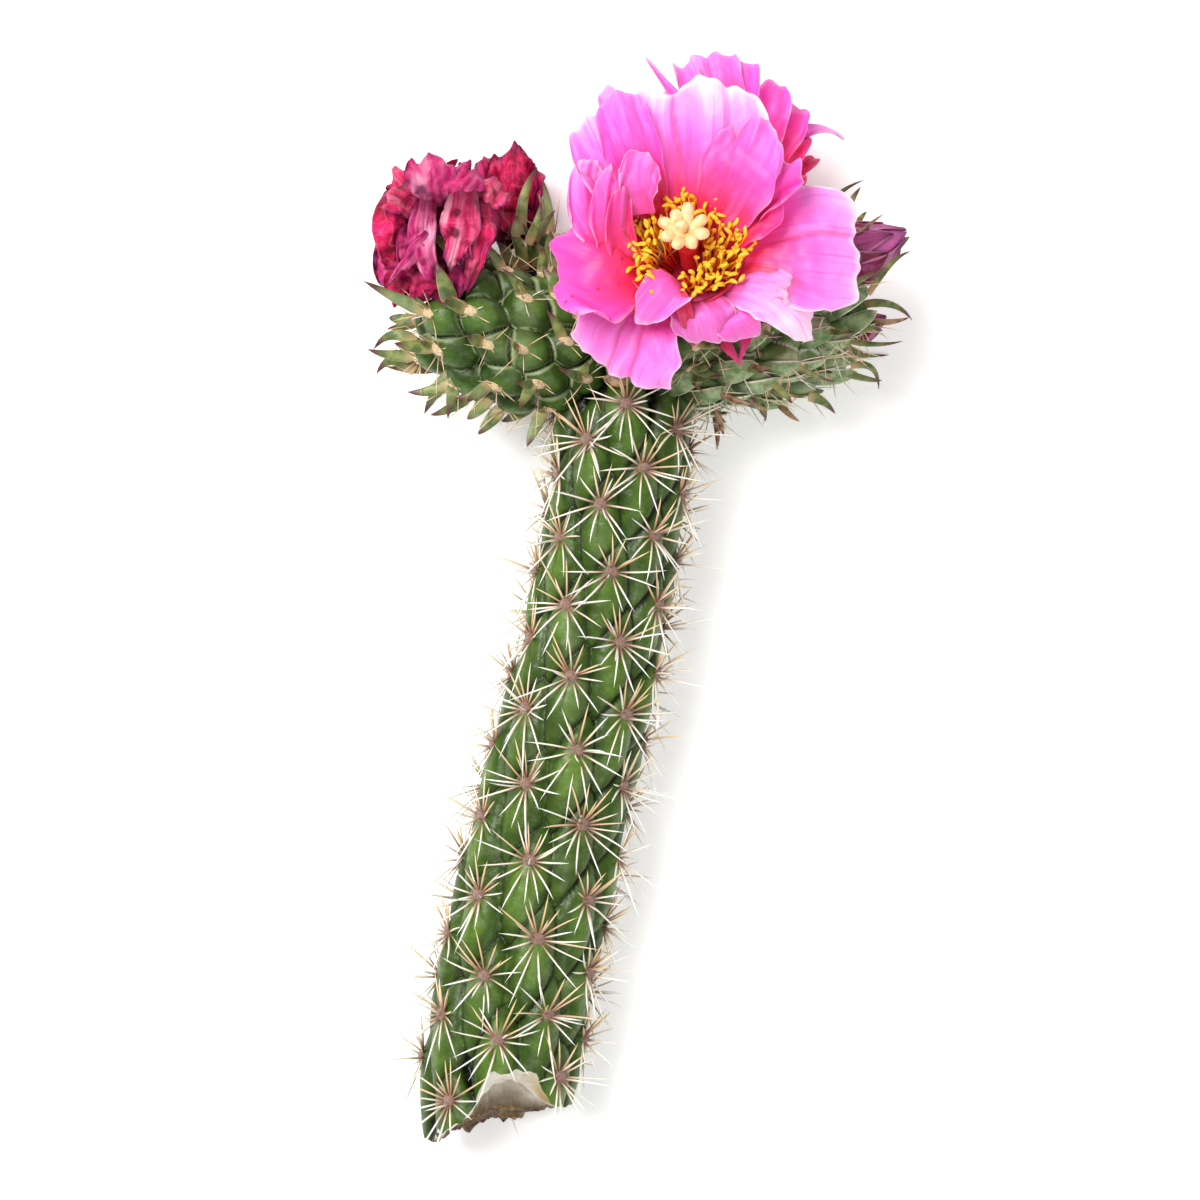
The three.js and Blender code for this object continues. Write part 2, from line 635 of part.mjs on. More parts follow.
// A spine's tip; one that would pass through the surface below lies along it instead
function spineTip(root, way, length) {
  const tip = root.clone().addScaledVector(way, length);
  if (tip.z >= LOWEST_SPINE) return tip;
  const drop = root.z - LOWEST_SPINE;
  const level = Math.sqrt(Math.max(0.01, length * length - drop * drop)) / Math.hypot(way.x, way.y);
  return vec(root.x + way.x * level, root.y + way.y * level, LOWEST_SPINE);
}

const HUB_RADIUS = 0.9;
const HUB_RISE = 0.7;
const HUB_ROOM = 2;

function hasRoom(hub, others) {
  const { x, y, z } = hub.position;
  const room = solidOf(new THREE.IcosahedronGeometry(HUB_ROOM + GAP, 1).translate(x, y, z));
  return z > HUB_ROOM && others.every((other) => room.intersect(other).isEmpty());
}

// Spines spread from one areole: a sunk hub, each of whose upper faces runs out into a spine
function spineStar(hub, count, seed, lengthScale, others) {
  const tips = Array.from({ length: count }, (_, i) => {
    const turn = ((i + 0.5) / count) * TAU + seed;
    const full = SPINE_LENGTH * lengthScale * mix(0.8, 1.15, scatter(seed * 5 + i * 1.7));
    const lean = mix(50, 76, scatter(seed * 7 + i * 3.1));
    const reach = ([leaning, share]) => {
      const way = hub.crosswise.clone().multiplyScalar(Math.cos(turn));
      way.addScaledVector(hub.lengthwise, Math.sin(turn)).multiplyScalar(Math.sin(rad(leaning)));
      return spineTip(hub.position, way.addScaledVector(hub.outward, Math.cos(rad(leaning))), full * share);
    };
    const tries = [[lean, 1], [lean - 22, 1], [lean - 40, 1], [lean, 0.6], [lean - 30, 0.6]];
    const clear = tries.find((given) => {
      const tip = reach(given);
      const past = tip.clone().sub(hub.position).setLength(GAP).add(tip);
      const probe = horn([hub.position, tip, past], [HUB_RADIUS + GAP, GAP, 0], 6);
      return others.every((other) => probe.intersect(other).isEmpty());
    });
    return clear ? reach(clear) : null;
  });
  const points = [
    hub.position.clone().addScaledVector(hub.outward, -2),
    hub.position.clone().addScaledVector(hub.outward, HUB_RISE + 0.6),
  ];
  for (let i = 0; i < count; i++) {
    const turn = (i / count) * TAU + seed;
    const out = hub.crosswise.clone().multiplyScalar(Math.cos(turn) * HUB_RADIUS);
    out.addScaledVector(hub.lengthwise, Math.sin(turn) * HUB_RADIUS);
    points.push(out.addScaledVector(hub.outward, HUB_RISE).add(hub.position));
  }
  const faces = [];
  for (let i = 0; i < count; i++) {
    const [a, b] = [2 + i, 2 + ((i + 1) % count)];
    faces.push(0, b, a);
    if (tips[i]) {
      points.push(tips[i]);
      faces.push(1, a, points.length - 1, a, b, points.length - 1, b, 1, points.length - 1);
    } else {
      faces.push(1, a, b);
    }
  }
  return solidFrom(points, faces);
}

const dressed = new Map(fruits.map(({ spec, solid }) => [spec.name, solid]));
const bare = [
  stemBare,
  bloomPetals,
  bloomStamens,
  backPetals,
  ...wilted.map((w) => w.solid),
  ...buds.map((b) => b.solid),
];

fruits.forEach(({ sites, swell, axis, spec }, order) => {
  const neighbours = [...dressed.keys()].filter((name) => name !== spec.name);
  const others = [...bare, ...neighbours.map((name) => dressed.get(name))];
  const grown = [dressed.get(spec.name)];
  sites.forEach((site, k) => {
    const seed = 100 * order + k;
    const raised = site.position.clone().addScaledVector(site.outward, swell(site.position) - 0.3);
    const hub = { ...site, position: raised };
    const bends = [0, 0.5, -0.5, 0.9, -0.9];
    const grew = firstClear(bends, others, (bent, thicker) => leaf(site, axis, seed, bent, thicker));
    if (grew) grown.push(grew);
    if (k % 3 === 0 && hasRoom(hub, others)) grown.push(spineStar(hub, 3, seed, 0.8, others));
  });
  dressed.set(spec.name, join(grown));
});

const around = [bloomPetals, backPetals, ...dressed.values(), ...wilted.map((w) => w.solid)];
const stemStars = stem.sites
  .map((site, k) => {
    const raised = site.position.clone().addScaledVector(site.outward, stem.swell(site.position) * 0.9);
    const outward = site.outward.clone().addScaledVector(site.lengthwise, -0.32).normalize();
    return { hub: { ...site, position: raised, outward }, k };
  })
  .filter(({ hub }) => hasRoom(hub, around))
  .map(({ hub, k }) => spineStar(hub, STEM_SPINES, k, 1, around));
const stemSolid = join([stemBare, ...stemStars]);

// Colours and finishes

const finish = (color, roughness) => new THREE.MeshStandardMaterial({ color, roughness, metalness: 0 });
const stemGreen = finish(0x4c7a37, 0.55);
const fruitGreen = finish(0x557a45, 0.55);
const fleshCream = finish(0xb9ab8c, 0.85);
const petalPink = finish(0xf05ccb, 0.5);
const antherYellow = finish(0xf3b21c, 0.6);
const styleRed = finish(0xd2232e, 0.45);
const stigmaCream = finish(0xf6dfae, 0.5);
const wiltedMagenta = finish(0x9c1f55, 0.65);
const budPurple = finish(0x5f1f3d, 0.55);

const part = new THREE.Group();

function add(name, solid, material) {
  const { vertProperties, triVerts, numProp } = solid.getMesh();
  const geometry = new THREE.BufferGeometry();
  geometry.setAttribute("position", new THREE.BufferAttribute(Float32Array.from(vertProperties), numProp));
  geometry.setIndex(new THREE.BufferAttribute(Uint32Array.from(triVerts), 1));
  geometry.computeVertexNormals();
  const mesh = new THREE.Mesh(geometry, material);
  mesh.name = name;
  part.add(mesh);
}

add("stem", stemSolid, stemGreen);
add("cut_flesh", cutFlesh, fleshCream);
for (const [name, solid] of dressed) add(name, solid, fruitGreen);
add("centre_bloom_petals", bloomPetals, petalPink);
add("centre_bloom_stamens", bloomStamens, antherYellow);
add("centre_bloom_style", bloomStyle, styleRed);
add("centre_bloom_stigma", bloomStigma, stigmaCream);
for (const { name, solid } of wilted) add(name, solid, wiltedMagenta);
for (const { name, solid } of buds) add(name, solid, budPurple);
add("back_bloom_petals", backPetals, petalPink);

part.position.set(-MIDDLE.x, -MIDDLE.y, 0);

export default part;
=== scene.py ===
# A cut joint of cane cholla in flower, lying on its back on a pale surface.
# Shapes are worked out in millimetres in the frame of the source, then placed in metres.
import math

import bpy
import numpy as np
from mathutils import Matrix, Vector


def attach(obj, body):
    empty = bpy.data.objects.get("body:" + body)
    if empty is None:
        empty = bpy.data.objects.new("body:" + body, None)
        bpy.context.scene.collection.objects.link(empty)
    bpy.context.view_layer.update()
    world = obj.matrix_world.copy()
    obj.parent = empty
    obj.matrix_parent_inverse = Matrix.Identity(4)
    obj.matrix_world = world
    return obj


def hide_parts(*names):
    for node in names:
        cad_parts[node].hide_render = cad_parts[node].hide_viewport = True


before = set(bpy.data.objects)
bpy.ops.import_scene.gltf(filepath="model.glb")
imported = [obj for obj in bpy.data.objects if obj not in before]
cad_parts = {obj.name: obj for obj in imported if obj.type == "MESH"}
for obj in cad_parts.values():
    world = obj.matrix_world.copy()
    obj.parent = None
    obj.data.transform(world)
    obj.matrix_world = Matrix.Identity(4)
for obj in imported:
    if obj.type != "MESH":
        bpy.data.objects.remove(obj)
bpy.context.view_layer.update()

TAU = 2 * math.pi
GOLDEN_TURN = 137.28
MM_PER_METRE = 1000
MIDDLE = np.array([-1.5, 0.8, 0.0])
FLOOR_CLEARANCE = 0.02

# The places of a point's marks along, across and tone, and of its tints far, pale and red
MARKS = 6
ALONG, ACROSS, TONE, FAR, _, RED = range(MARKS)


# Arithmetic on arrays of points

def vec(x, y, z):
    return np.array([x, y, z], float)


def mix(a, b, share):
    return a + (b - a) * share


def smooth(low, high, x):
    share = np.clip((np.asarray(x, float) - low) / (high - low), 0, 1)
    return share * share * (3 - 2 * share)


def scatter(seed):
    """A repeatable number from 0 to 1 for each seed."""
    wave = np.sin(np.asarray(seed, float) * 12.9898 + 4.1) * 43758.5453
    return wave - np.floor(wave)


def spread(seed):
    """A repeatable number from -1 to 1 for each seed."""
    return 2 * scatter(seed) - 1


def dot(a, b):
    return (a * b).sum(-1)


def unit(v):
    return v / np.maximum(np.linalg.norm(v, axis=-1, keepdims=True), 1e-12)


def stacked(*parts):
    """Parts whose shapes match, stacked on a last axis."""
    return np.stack(np.broadcast_arrays(*parts), -1)


def turns(sides):
    return np.arange(sides) / sides * TAU


def ball(rows, sides):
    """A grid of points on a unit ball whose poles are up and down."""
    tall, turn = np.linspace(0, math.pi, rows)[:, None], turns(sides)[None, :]
    return stacked(np.sin(tall) * np.cos(turn), np.sin(tall) * np.sin(turn), np.cos(tall))


def curve(start, control, end, share):
    """Points on a curve from start to end that leans towards control."""
    return (1 - share) ** 2 * start + 2 * share * (1 - share) * control + share ** 2 * end


def lumps(points, size, seed, waves=7):
    """Smooth uneven relief from -1 to 1 over points, about size across."""
    rng = np.random.default_rng(seed)
    total = np.zeros(points.shape[:-1])
    for _ in range(waves):
        way = unit(rng.normal(size=3)) * TAU / size * rng.uniform(0.6, 1.5)
        total += np.sin(points @ way + rng.uniform(0, TAU))
    return total / waves ** 0.5 * 0.6


# Meshes

class Shape:
    """Points, faces and marks of one piece. A point is marked along, across and tone, and may go on
    with three tints: far, pale and red."""

    def __init__(self):
        self.points, self.marks, self.quads, self.count = [], [], [], 0

    def grid(self, points, marks):
        """Closed rings of points, each joined to the next by quads. Leading axes are copies."""
        rings, sides = points.shape[-3:-1]
        total = points.size // 3
        at = self.count + np.arange(total).reshape(-1, rings, sides)
        after = np.roll(at, -1, 2)
        faces = np.stack([at[:, :-1], after[:, :-1], after[:, 1:], at[:, 1:]], -1)
        self.quads.append(faces.reshape(-1, 4))
        self.points.append(points.reshape(-1, 3))
        full = np.zeros((*points.shape[:-1], MARKS))
        full[..., :marks.shape[-1]] = marks
        self.marks.append(full.reshape(-1, MARKS))
        self.count += total

    def tubes(self, paths, radii, sides, tone, flatness=1.0, level=(0, 0, 1)):
        """Tapered tubes along paths of shape copies, steps, 3. level is the way that a flat tube faces."""
        run = unit(np.gradient(paths, axis=1))
        level = np.broadcast_to(np.asarray(level, float).reshape(-1, 1, 3), run.shape)
        steep = np.abs(dot(run, level))[..., None] > 0.97
        level = np.where(steep, vec(1, 0.3, 0), level)
        side = unit(np.cross(run, level))
        over = np.cross(side, run) * flatness
        turn = turns(sides)
        ring = np.cos(turn)[:, None] * side[:, :, None] + np.sin(turn)[:, None] * over[:, :, None]
        points = paths[:, :, None] + ring * np.asarray(radii)[..., None, None]
        marks = np.zeros(points.shape)
        marks[..., ALONG] = np.linspace(0, 1, paths.shape[1])[:, None]
        marks[..., ACROSS] = np.sin(turn)
        marks[..., TONE] = np.asarray(tone, float).reshape(-1, 1, 1)
        self.grid(points, marks)

    def blade(self, points, marks, thickness):
        """A sheet of even thickness whose edges are closed and thin."""
        rows, columns = points.shape[:2]
        facing = unit(np.cross(np.gradient(points, axis=1), np.gradient(points, axis=0)))
        across = np.linspace(-1, 1, columns)[None, :]
        along = np.linspace(0, 1, rows)[:, None]
        taper = np.sqrt(np.clip(1 - across ** 8, 0, 1)) * np.sqrt(np.clip(1 - along ** 12, 0, 1))
        half = facing * (taper * thickness / 2)[..., None]
        both_sides = np.concatenate([points + half, (points - half)[:, ::-1]], 1)
        self.grid(both_sides, np.concatenate([marks, marks[:, ::-1]], 1))

    def blobs(self, centres, axes, sizes, rough, seed):
        """Rounded lumps. axes holds three unit ways for each and sizes their half lengths."""
        rounded = ball(9, 14)
        local = rounded * np.asarray(sizes, float).reshape(-1, 1, 1, 3)
        out = np.einsum("nrsk,nkc->nrsc", local, axes)
        points = out + centres[:, None, None]
        points = points + unit(out) * (lumps(points, 1.1, seed) * rough)[..., None]
        marks = stacked((rounded[..., 2] + 1) / 2, rounded[..., 0], 0.5)
        self.grid(points, np.broadcast_to(marks, points.shape))

    def place(self, name, material, slot, *nodes):
        """The finished piece, in metres, riding on the part and standing for the nodes named."""
        points = np.concatenate(self.points) - MIDDLE
        points[:, 2] = np.maximum(points[:, 2], FLOOR_CLEARANCE)
        quads = np.concatenate(self.quads)
        mesh = bpy.data.meshes.new(name)
        mesh.vertices.add(len(points))
        mesh.vertices.foreach_set("co", (points / MM_PER_METRE).astype(np.float32).ravel())
        mesh.loops.add(quads.size)
        mesh.loops.foreach_set("vertex_index", quads.astype(np.int32).ravel())
        mesh.polygons.add(len(quads))
        mesh.polygons.foreach_set("loop_start", np.arange(len(quads), dtype=np.int32) * 4)
        mesh.polygons.foreach_set("use_smooth", np.ones(len(quads), bool))
        mesh.update(calc_edges=True)
        values = np.concatenate(self.marks).astype(np.float32)
        for words, part in (("marks", values[:, :FAR]), ("tints", values[:, FAR:])):
            made = mesh.attributes.new(words, "FLOAT_VECTOR", "POINT")
            made.data.foreach_set("vector", np.ascontiguousarray(part).ravel())
        mesh.materials.append(material)
        piece = bpy.data.objects.new(name, mesh)
        bpy.context.scene.collection.objects.link(piece)
        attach(piece, "root")
        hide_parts(*nodes)


# Materials

def colour(code):
    """A linear colour from a code such as 0x3f7a36."""
    shares = [((code >> shift) & 255) / 255 for shift in (16, 8, 0)]
    return (*[s / 12.92 if s <= 0.04045 else ((s + 0.055) / 1.055) ** 2.4 for s in shares], 1.0)


class Look:
    """A material of nodes on one Principled shader."""

    def __init__(self, name, **shader):
        self.material = bpy.data.materials.new(name)
        self.material.use_nodes = True
        self.tree = self.material.node_tree
        self.shader = self.tree.nodes["Principled BSDF"]
        for words, value in shader.items():
            socket = words.replace("_", " ").title().replace("Ior", "IOR")
            self.shader.inputs[socket].default_value = value
        marks = self.add("Attribute", attribute_name="marks")
        split = self.add("SeparateXYZ", {0: marks.outputs["Vector"]})
        self.along, self.across, self.tone = split.outputs
        tints = self.add("Attribute", attribute_name="tints")
        self.far, self.pale, self.red = self.add("SeparateXYZ", {0: tints.outputs["Vector"]}).outputs
        self.where = self.add("TexCoord").outputs["Object"]

    def add(self, kind, inputs=None, **settings):
        made = self.tree.nodes.new("ShaderNode" + kind)
        for key, value in settings.items():
            setattr(made, key, value)
        for key, value in (inputs or {}).items():
            if isinstance(value, bpy.types.NodeSocket):
                self.tree.links.new(value, made.inputs[key])
            else:
                made.inputs[key].default_value = value
        return made

    def math(self, how, a, b=0.0):
        return self.add("Math", {0: a, 1: b}, operation=how).outputs[0]

    def span(self, value, low, high, to_low=0.0, to_high=1.0):
        """value from low..high mapped smoothly to to_low..to_high."""
        inputs = {0: value, 1: low, 2: high, 3: to_low, 4: to_high}
        return self.add("MapRange", inputs, interpolation_type="SMOOTHSTEP").outputs[0]

    def noise(self, size, detail=3.0, roughness=0.55):
        """Noise from 0 to 1 whose features are about size millimetres."""
        inputs = {"Vector": self.where, "Scale": MM_PER_METRE / size, "Detail": detail,
                  "Roughness": roughness}
        return self.add("TexNoise", inputs).outputs[0]

    def cells(self, size):
        """The distance from scattered points about size millimetres apart."""
        inputs = {"Vector": self.where, "Scale": MM_PER_METRE / size}
        return self.add("TexVoronoi", inputs).outputs["Distance"]

    def edge(self):
        """How far a point is from the middle of its blade, from 0 to 1."""
        return self.math("ABSOLUTE", self.across)

    def blend(self, share, a, b):
        return self.add("Mix", {0: share, 6: a, 7: b}, data_type="RGBA").outputs[2]

    def ramp(self, share, *stops):
        made = self.add("ValToRGB", {0: share})
        steps = made.color_ramp.elements
        for k, (place, code) in enumerate(stops):
            step = steps[k] if k < 2 else steps.new(place)
            step.position, step.color = place, colour(code)
        return made.outputs[0]

    def streaks(self, across, along, detail=2.0):
        """Noise drawn out along a blade, with across and along features over its width and length."""
        sideways = self.math("MULTIPLY", self.across, across / 2)
        lengthways = self.math("MULTIPLY", self.along, along)
        apart = self.math("MULTIPLY", self.tone, 37.0)
        where = self.add("CombineXYZ", {0: sideways, 1: lengthways, 2: apart}).outputs[0]
        inputs = {"Vector": where, "Scale": 1.0, "Detail": detail, "Roughness": 0.5}
        return self.add("TexNoise", inputs).outputs[0]

    def finish(self, base, roughness=None, bumps=()):
        """Links the colour, the roughness and bumps, given as height and depth in millimetres."""
        self.tree.links.new(base, self.shader.inputs["Base Color"])
        if roughness is not None:
            self.tree.links.new(roughness, self.shader.inputs["Roughness"])
        normal = None
        for height, depth in bumps:
            inputs = {"Height": height, "Distance": depth / MM_PER_METRE, "Strength": 1.0}
            if normal:
                inputs["Normal"] = normal
            normal = self.add("Bump", inputs).outputs[0]
        if normal:
            self.tree.links.new(normal, self.shader.inputs["Normal"])
        return self.material


def green_skin(name, dark, mid, light, grey, line=0xb4c08c, lining=0.0):
    """Waxy cactus skin, dark in its creases, mottled, with fine pale stomata.

    A point is marked along by its height, across by its distance from a crease and tone by how far along its
    tubercle it lies. Shade is painted low on the skin and along the creases, and a highlight on the highest
    tubercle tops. line and lining are the colour and strength of the pale lines beside the creases.
    """
    look = Look(name, subsurface_weight=0.05, subsurface_scale=0.002, coat_weight=0.04, coat_roughness=0.3,
                specular_ior_level=0.28)
    look.shader.inputs["Subsurface Radius"].default_value = (0.4, 1.0, 0.25)
    mottle, fine = look.noise(5.0, 4), look.noise(0.9, 3)
    uneven = look.math("SUBTRACT", mottle, 0.5)
    raised = look.math("ADD", look.along, look.math("MULTIPLY", uneven, 0.3))
    # The ramp over height is painted light: shade low in the valleys and a highlight on the highest tops.
    base = look.ramp(raised, (0.1, dark), (0.56, mid), (0.8, mid), (1.0, light))
    base = look.blend(look.span(mottle, 0.5, 0.72, 0, 0.5), base, colour(light))
    base = look.blend(look.span(look.noise(9.0, 2), 0.5, 0.72, 0, 0.35), base, colour(grey))
    base = look.blend(look.span(fine, 0.35, 0.7, 0, 0.24), base, colour(dark))
    stomata = look.span(look.cells(0.55), 0.0, 0.22, 0.22, 0.0)
    base = look.blend(stomata, base, colour(grey))
    apart = look.math("ADD", look.across, look.math("MULTIPLY", uneven, 0.12))
    beside = look.math("MULTIPLY", look.span(apart, 0.07, 0.15), look.span(apart, 0.17, 0.34, 1, 0))
    beside = look.math("MULTIPLY", beside, look.span(look.tone, 0.35, 0.75, 0.25, 1))
    base = look.blend(look.math("MULTIPLY", beside, lining), base, colour(line))
    # Painted shade: the skin goes nearly black along each crease.
    base = look.blend(look.span(apart, 0.0, 0.16, 0.95, 0), base, colour(dark))
    scars = look.span(look.noise(2.6, 5, 0.7), 0.7, 0.76, 0, 0.8)
    base = look.blend(scars, base, colour(0xb8ad7a))
    gloss = look.span(fine, 0.3, 0.75, 0.3, 0.5)
    return look.finish(base, gloss, [(mottle, 0.35), (fine, 0.05), (look.cells(0.5), 0.03)])


def spine_look():
    """White or straw spines that are brown at the root. tone tells the white ones from the straw ones."""
    look = Look("spine_ivory", roughness=0.42, subsurface_weight=0.1, subsurface_scale=0.0004)
    root, far = look.span(look.along, 0.05, 0.42), look.span(look.along, 0.1, 0.9)
    pale = look.blend(far, colour(0xf3e4cc), colour(0xfffdf8))
    straw = look.blend(far, colour(0xc99f78), colour(0xecd2a4))
    shaft = look.blend(look.span(look.tone, 0.35, 0.6), straw, pale)
    base = look.blend(root, colour(0x9a6f5c), shaft)
    return look.finish(base, None, [(look.noise(0.35, 2), 0.02)])


def wool_look(name, dark, light):
    look = Look(name, roughness=0.95, sheen_weight=0.35, sheen_roughness=0.6)
    fibre = look.noise(0.32, 5, 0.7)
    base = look.blend(look.span(fibre, 0.3, 0.7), colour(dark), colour(light))
    base = look.blend(look.span(look.along, 0.0, 0.6, 0.45, 0), base, colour(dark))
    return look.finish(base, None, [(fibre, 0.22)])


def leaf_look():
    """Fleshy leaves with a tan root, a pale keel and a brown tip. A tone over 1 is a dried leaf."""
    look = Look("leaf_green", roughness=0.45, subsurface_weight=0.1, subsurface_scale=0.001)
    patch = look.noise(2.2, 3)
    body = look.blend(look.span(patch, 0.35, 0.65), colour(0x4c6430), colour(0x8a9150))
    body = look.blend(look.span(look.tone, 0.55, 0.9, 0, 0.5), body, colour(0x98a878))
    body = look.blend(look.span(look.along, 0.02, 0.3, 0.85, 0), body, colour(0xc8ac7c))
    body = look.blend(look.span(look.edge(), 0.0, 0.3, 0.7, 0), body, colour(0xd9cda4))
    tip = look.span(look.math("ADD", look.along, look.math("MULTIPLY", patch, 0.35)), 0.7, 1.08)
    body = look.blend(tip, body, colour(0x54302c))
    dried = look.blend(look.span(patch, 0.35, 0.65), colour(0x5e4230), colour(0xb08e6a))
    body = look.blend(look.span(look.tone, 1.2, 1.6), body, dried)
    return look.finish(body, None, [(patch, 0.15), (look.noise(0.5, 2), 0.03)])


def scale_look():
    """Grey-green scales with painted shade at the root and cream margins."""
    look = Look("scale_green", roughness=0.5, subsurface_weight=0.05, subsurface_scale=0.001,
                specular_ior_level=0.28)
    patch, fine = look.noise(3.2, 4), look.noise(0.9, 3)
    body = look.blend(look.span(patch, 0.34, 0.64), colour(0x587840), colour(0xa2b684))
    body = look.blend(look.span(look.tone, 0.4, 1.0, 0, 0.5), body, colour(0xacba98))
    body = look.blend(look.span(fine, 0.42, 0.7, 0, 0.3), body, colour(0x2c441c))
    # Painted shade at the root, where each scale tucks in under its neighbours.
    body = look.blend(look.span(look.along, 0.05, 0.5, 0.8, 0), body, colour(0x1c2c0e))
    margin = look.math("MULTIPLY", look.span(look.edge(), 0.1, 0.5, 1, 0), look.span(look.along, 0.25, 0.5))
    body = look.blend(margin, body, colour(0xf4eed8))
    tip = look.span(look.math("ADD", look.along, look.math("MULTIPLY", patch, 0.3)), 1.04, 1.16)
    body = look.blend(tip, body, colour(0xd4c49c))
    return look.finish(body, None, [(patch, 0.25), (fine, 0.05)])


def petal_look():
    """Thin petals: crimson in the throat, then hot pink, and lilac to white at the rim, with soft veins."""
    look = Look("petal_pink", roughness=0.5, subsurface_weight=0.45, subsurface_scale=0.0025,
                sheen_weight=0.1)
    look.shader.inputs["Subsurface Radius"].default_value = (1.0, 0.35, 0.8)
    wide, thin = look.streaks(7, 0.9), look.streaks(44, 1.6, 3.0)
    uneven = look.math("SUBTRACT", wide, 0.5)
    place = look.math("ADD", look.far, look.math("MULTIPLY", uneven, 0.34))
    strong = look.ramp(place, (0.2, 0xb40420), (0.34, 0xe81440), (0.46, 0xfb3074), (0.62, 0xf83ca4),
                       (0.9, 0xfa54cc))
    light = look.ramp(place, (0.2, 0xc00f2c), (0.36, 0xf22c58), (0.5, 0xfd5098), (0.68, 0xfe70ca),
                      (0.88, 0xff9eec), (1.0, 0xffd4f6))
    base = look.blend(look.pale, strong, light)
    base = look.blend(look.span(thin, 0.52, 0.7, 0, 0.35), base, colour(0xe62a9a))
    base = look.blend(look.span(wide, 0.56, 0.78, 0, 0.25), base, colour(0xffb0ea))
    rim = look.math("MAXIMUM", look.span(look.edge(), 0.93, 1.0), look.span(look.along, 0.95, 1.0))
    outer = look.math("MULTIPLY", look.span(look.far, 0.35, 0.6), look.math("MULTIPLY", look.pale, 0.6))
    base = look.blend(look.math("MULTIPLY", rim, outer), base, colour(0xffe2f8))
    base = look.blend(look.red, base, colour(0xc01240))
    specks = look.span(look.cells(2.4), 0.1, 0.2, 1, 0)
    specks = look.math("MULTIPLY", specks, look.span(look.noise(8, 2), 0.46, 0.56))
    specks = look.math("MULTIPLY", specks, look.span(look.pale, 0.0, 0.2, 0.8, 0))
    base = look.blend(specks, base, colour(0xb00838))
    return look.finish(base, None, [(thin, 0.12), (wide, 0.18), (look.noise(0.5, 2), 0.02)])


def wilted_look():
    """Crumpled magenta tissue, purple at the edges, with painted shade in hollows and highlights on ridges.
    """
    look = Look("wilted_magenta", roughness=0.45, subsurface_weight=0.12, subsurface_scale=0.001,
                specular_ior_level=0.16)
    wide, thin = look.streaks(5, 1.2, 3.0), look.streaks(34, 2.0, 3.0)
    patch = look.noise(4.5, 4)
    ridged = look.math("ABSOLUTE", look.math("SUBTRACT", look.noise(6.5, 2), 0.5))
    base = look.ramp(patch, (0.3, 0x640220), (0.46, 0xb00c40), (0.6, 0xda2460), (0.76, 0xc02e7a))
    light = look.ramp(wide, (0.3, 0x9c0840), (0.44, 0xd02c68), (0.56, 0xf67aa4), (0.68, 0xffc0d2))
    base = look.blend(look.math("MULTIPLY", look.pale, 0.9), base, light)
    # Painted highlight along the ridges of the crumple and painted shade in the hollows between them.
    base = look.blend(look.span(ridged, 0.0, 0.03, 0.25, 0), base, colour(0xf07ca4))
    base = look.blend(look.span(ridged, 0.1, 0.2, 0, 0.75), base, colour(0x340010))
    base = look.blend(look.span(look.tone, 0.6, 0.8, 0, 0.25), base, colour(0x8a2a86))
    base = look.blend(look.span(thin, 0.52, 0.68, 0, 0.3), base, colour(0x580828))
    rim = look.math("MAXIMUM", look.span(look.along, 0.86, 1.0), look.span(look.edge(), 0.84, 1.0))
    rim = look.math("MULTIPLY", rim, look.span(patch, 0.35, 0.65, 0.2, 0.85))
    base = look.blend(rim, base, colour(0x5a0c54))
    # Painted shade at each petal's root, where it tucks into the core.
    base = look.blend(look.span(look.along, 0.0, 0.45, 0.8, 0), base, colour(0x4c041c))
    # The red tint is a near-black darkening: painted shade on the core and along the fold grooves, and a
    # darker tone on the petals given red.
    base = look.blend(look.red, base, colour(0x38010f))
    ridges = look.math("MULTIPLY", ridged, -1)
    return look.finish(base, None, [(ridges, 1.2), (wide, 0.5), (thin, 0.15), (look.noise(0.7, 4), 0.06)])


def bud_look():
    """Furled tepals. tone runs from the green outer ones, by brown and crimson, to the purple inner ones."""
    look = Look("bud_purple", roughness=0.42, specular_ior_level=0.35)
    thin, patch = look.streaks(22, 1.5, 3.0), look.noise(2.5, 3)
    base = look.ramp(look.tone, (0.0, 0x848a58), (0.12, 0x7c6a4a), (0.3, 0x881838), (0.62, 0x781040),
                     (0.9, 0xc060a0))
    base = look.blend(look.span(thin, 0.5, 0.66, 0, 0.5), base, colour(0x300818))
    base = look.blend(look.span(patch, 0.5, 0.7, 0, 0.6), base, colour(0xb4508c))
    base = look.blend(look.span(look.edge(), 0.74, 1.0, 0, 0.6), base, colour(0xd094ac))
    base = look.blend(look.span(look.along, 0.75, 1.0, 0, 0.6), base, colour(0x2c0a1d))
    return look.finish(base, None, [(thin, 0.12), (patch, 0.2)])


def stamen_look():
    """Stalks that go from red to yellow, and pollen where tone is high."""
    look = Look("stamen_yellow", roughness=0.55, subsurface_weight=0.15, subsurface_scale=0.0005)
    stalk = look.ramp(look.along, (0.1, 0xd81c18), (0.4, 0xf6581c), (0.75, 0xfca020), (1.0, 0xffcc24))
    pollen = look.blend(look.noise(0.3, 3), colour(0xfdab18), colour(0xffd936))
    base = look.blend(look.span(look.tone, 0.45, 0.55), stalk, pollen)
    return look.finish(base, None, [(look.noise(0.22, 3), 0.08)])


def smooth_tissue(name, dark, light, gloss):
    look = Look(name, roughness=gloss, subsurface_weight=0.3, subsurface_scale=0.0012)
    patch = look.noise(1.6, 3)
    base = look.blend(look.span(patch, 0.3, 0.7), colour(dark), colour(light))
    return look.finish(base, None, [(patch, 0.12), (look.noise(0.3, 2), 0.03)])


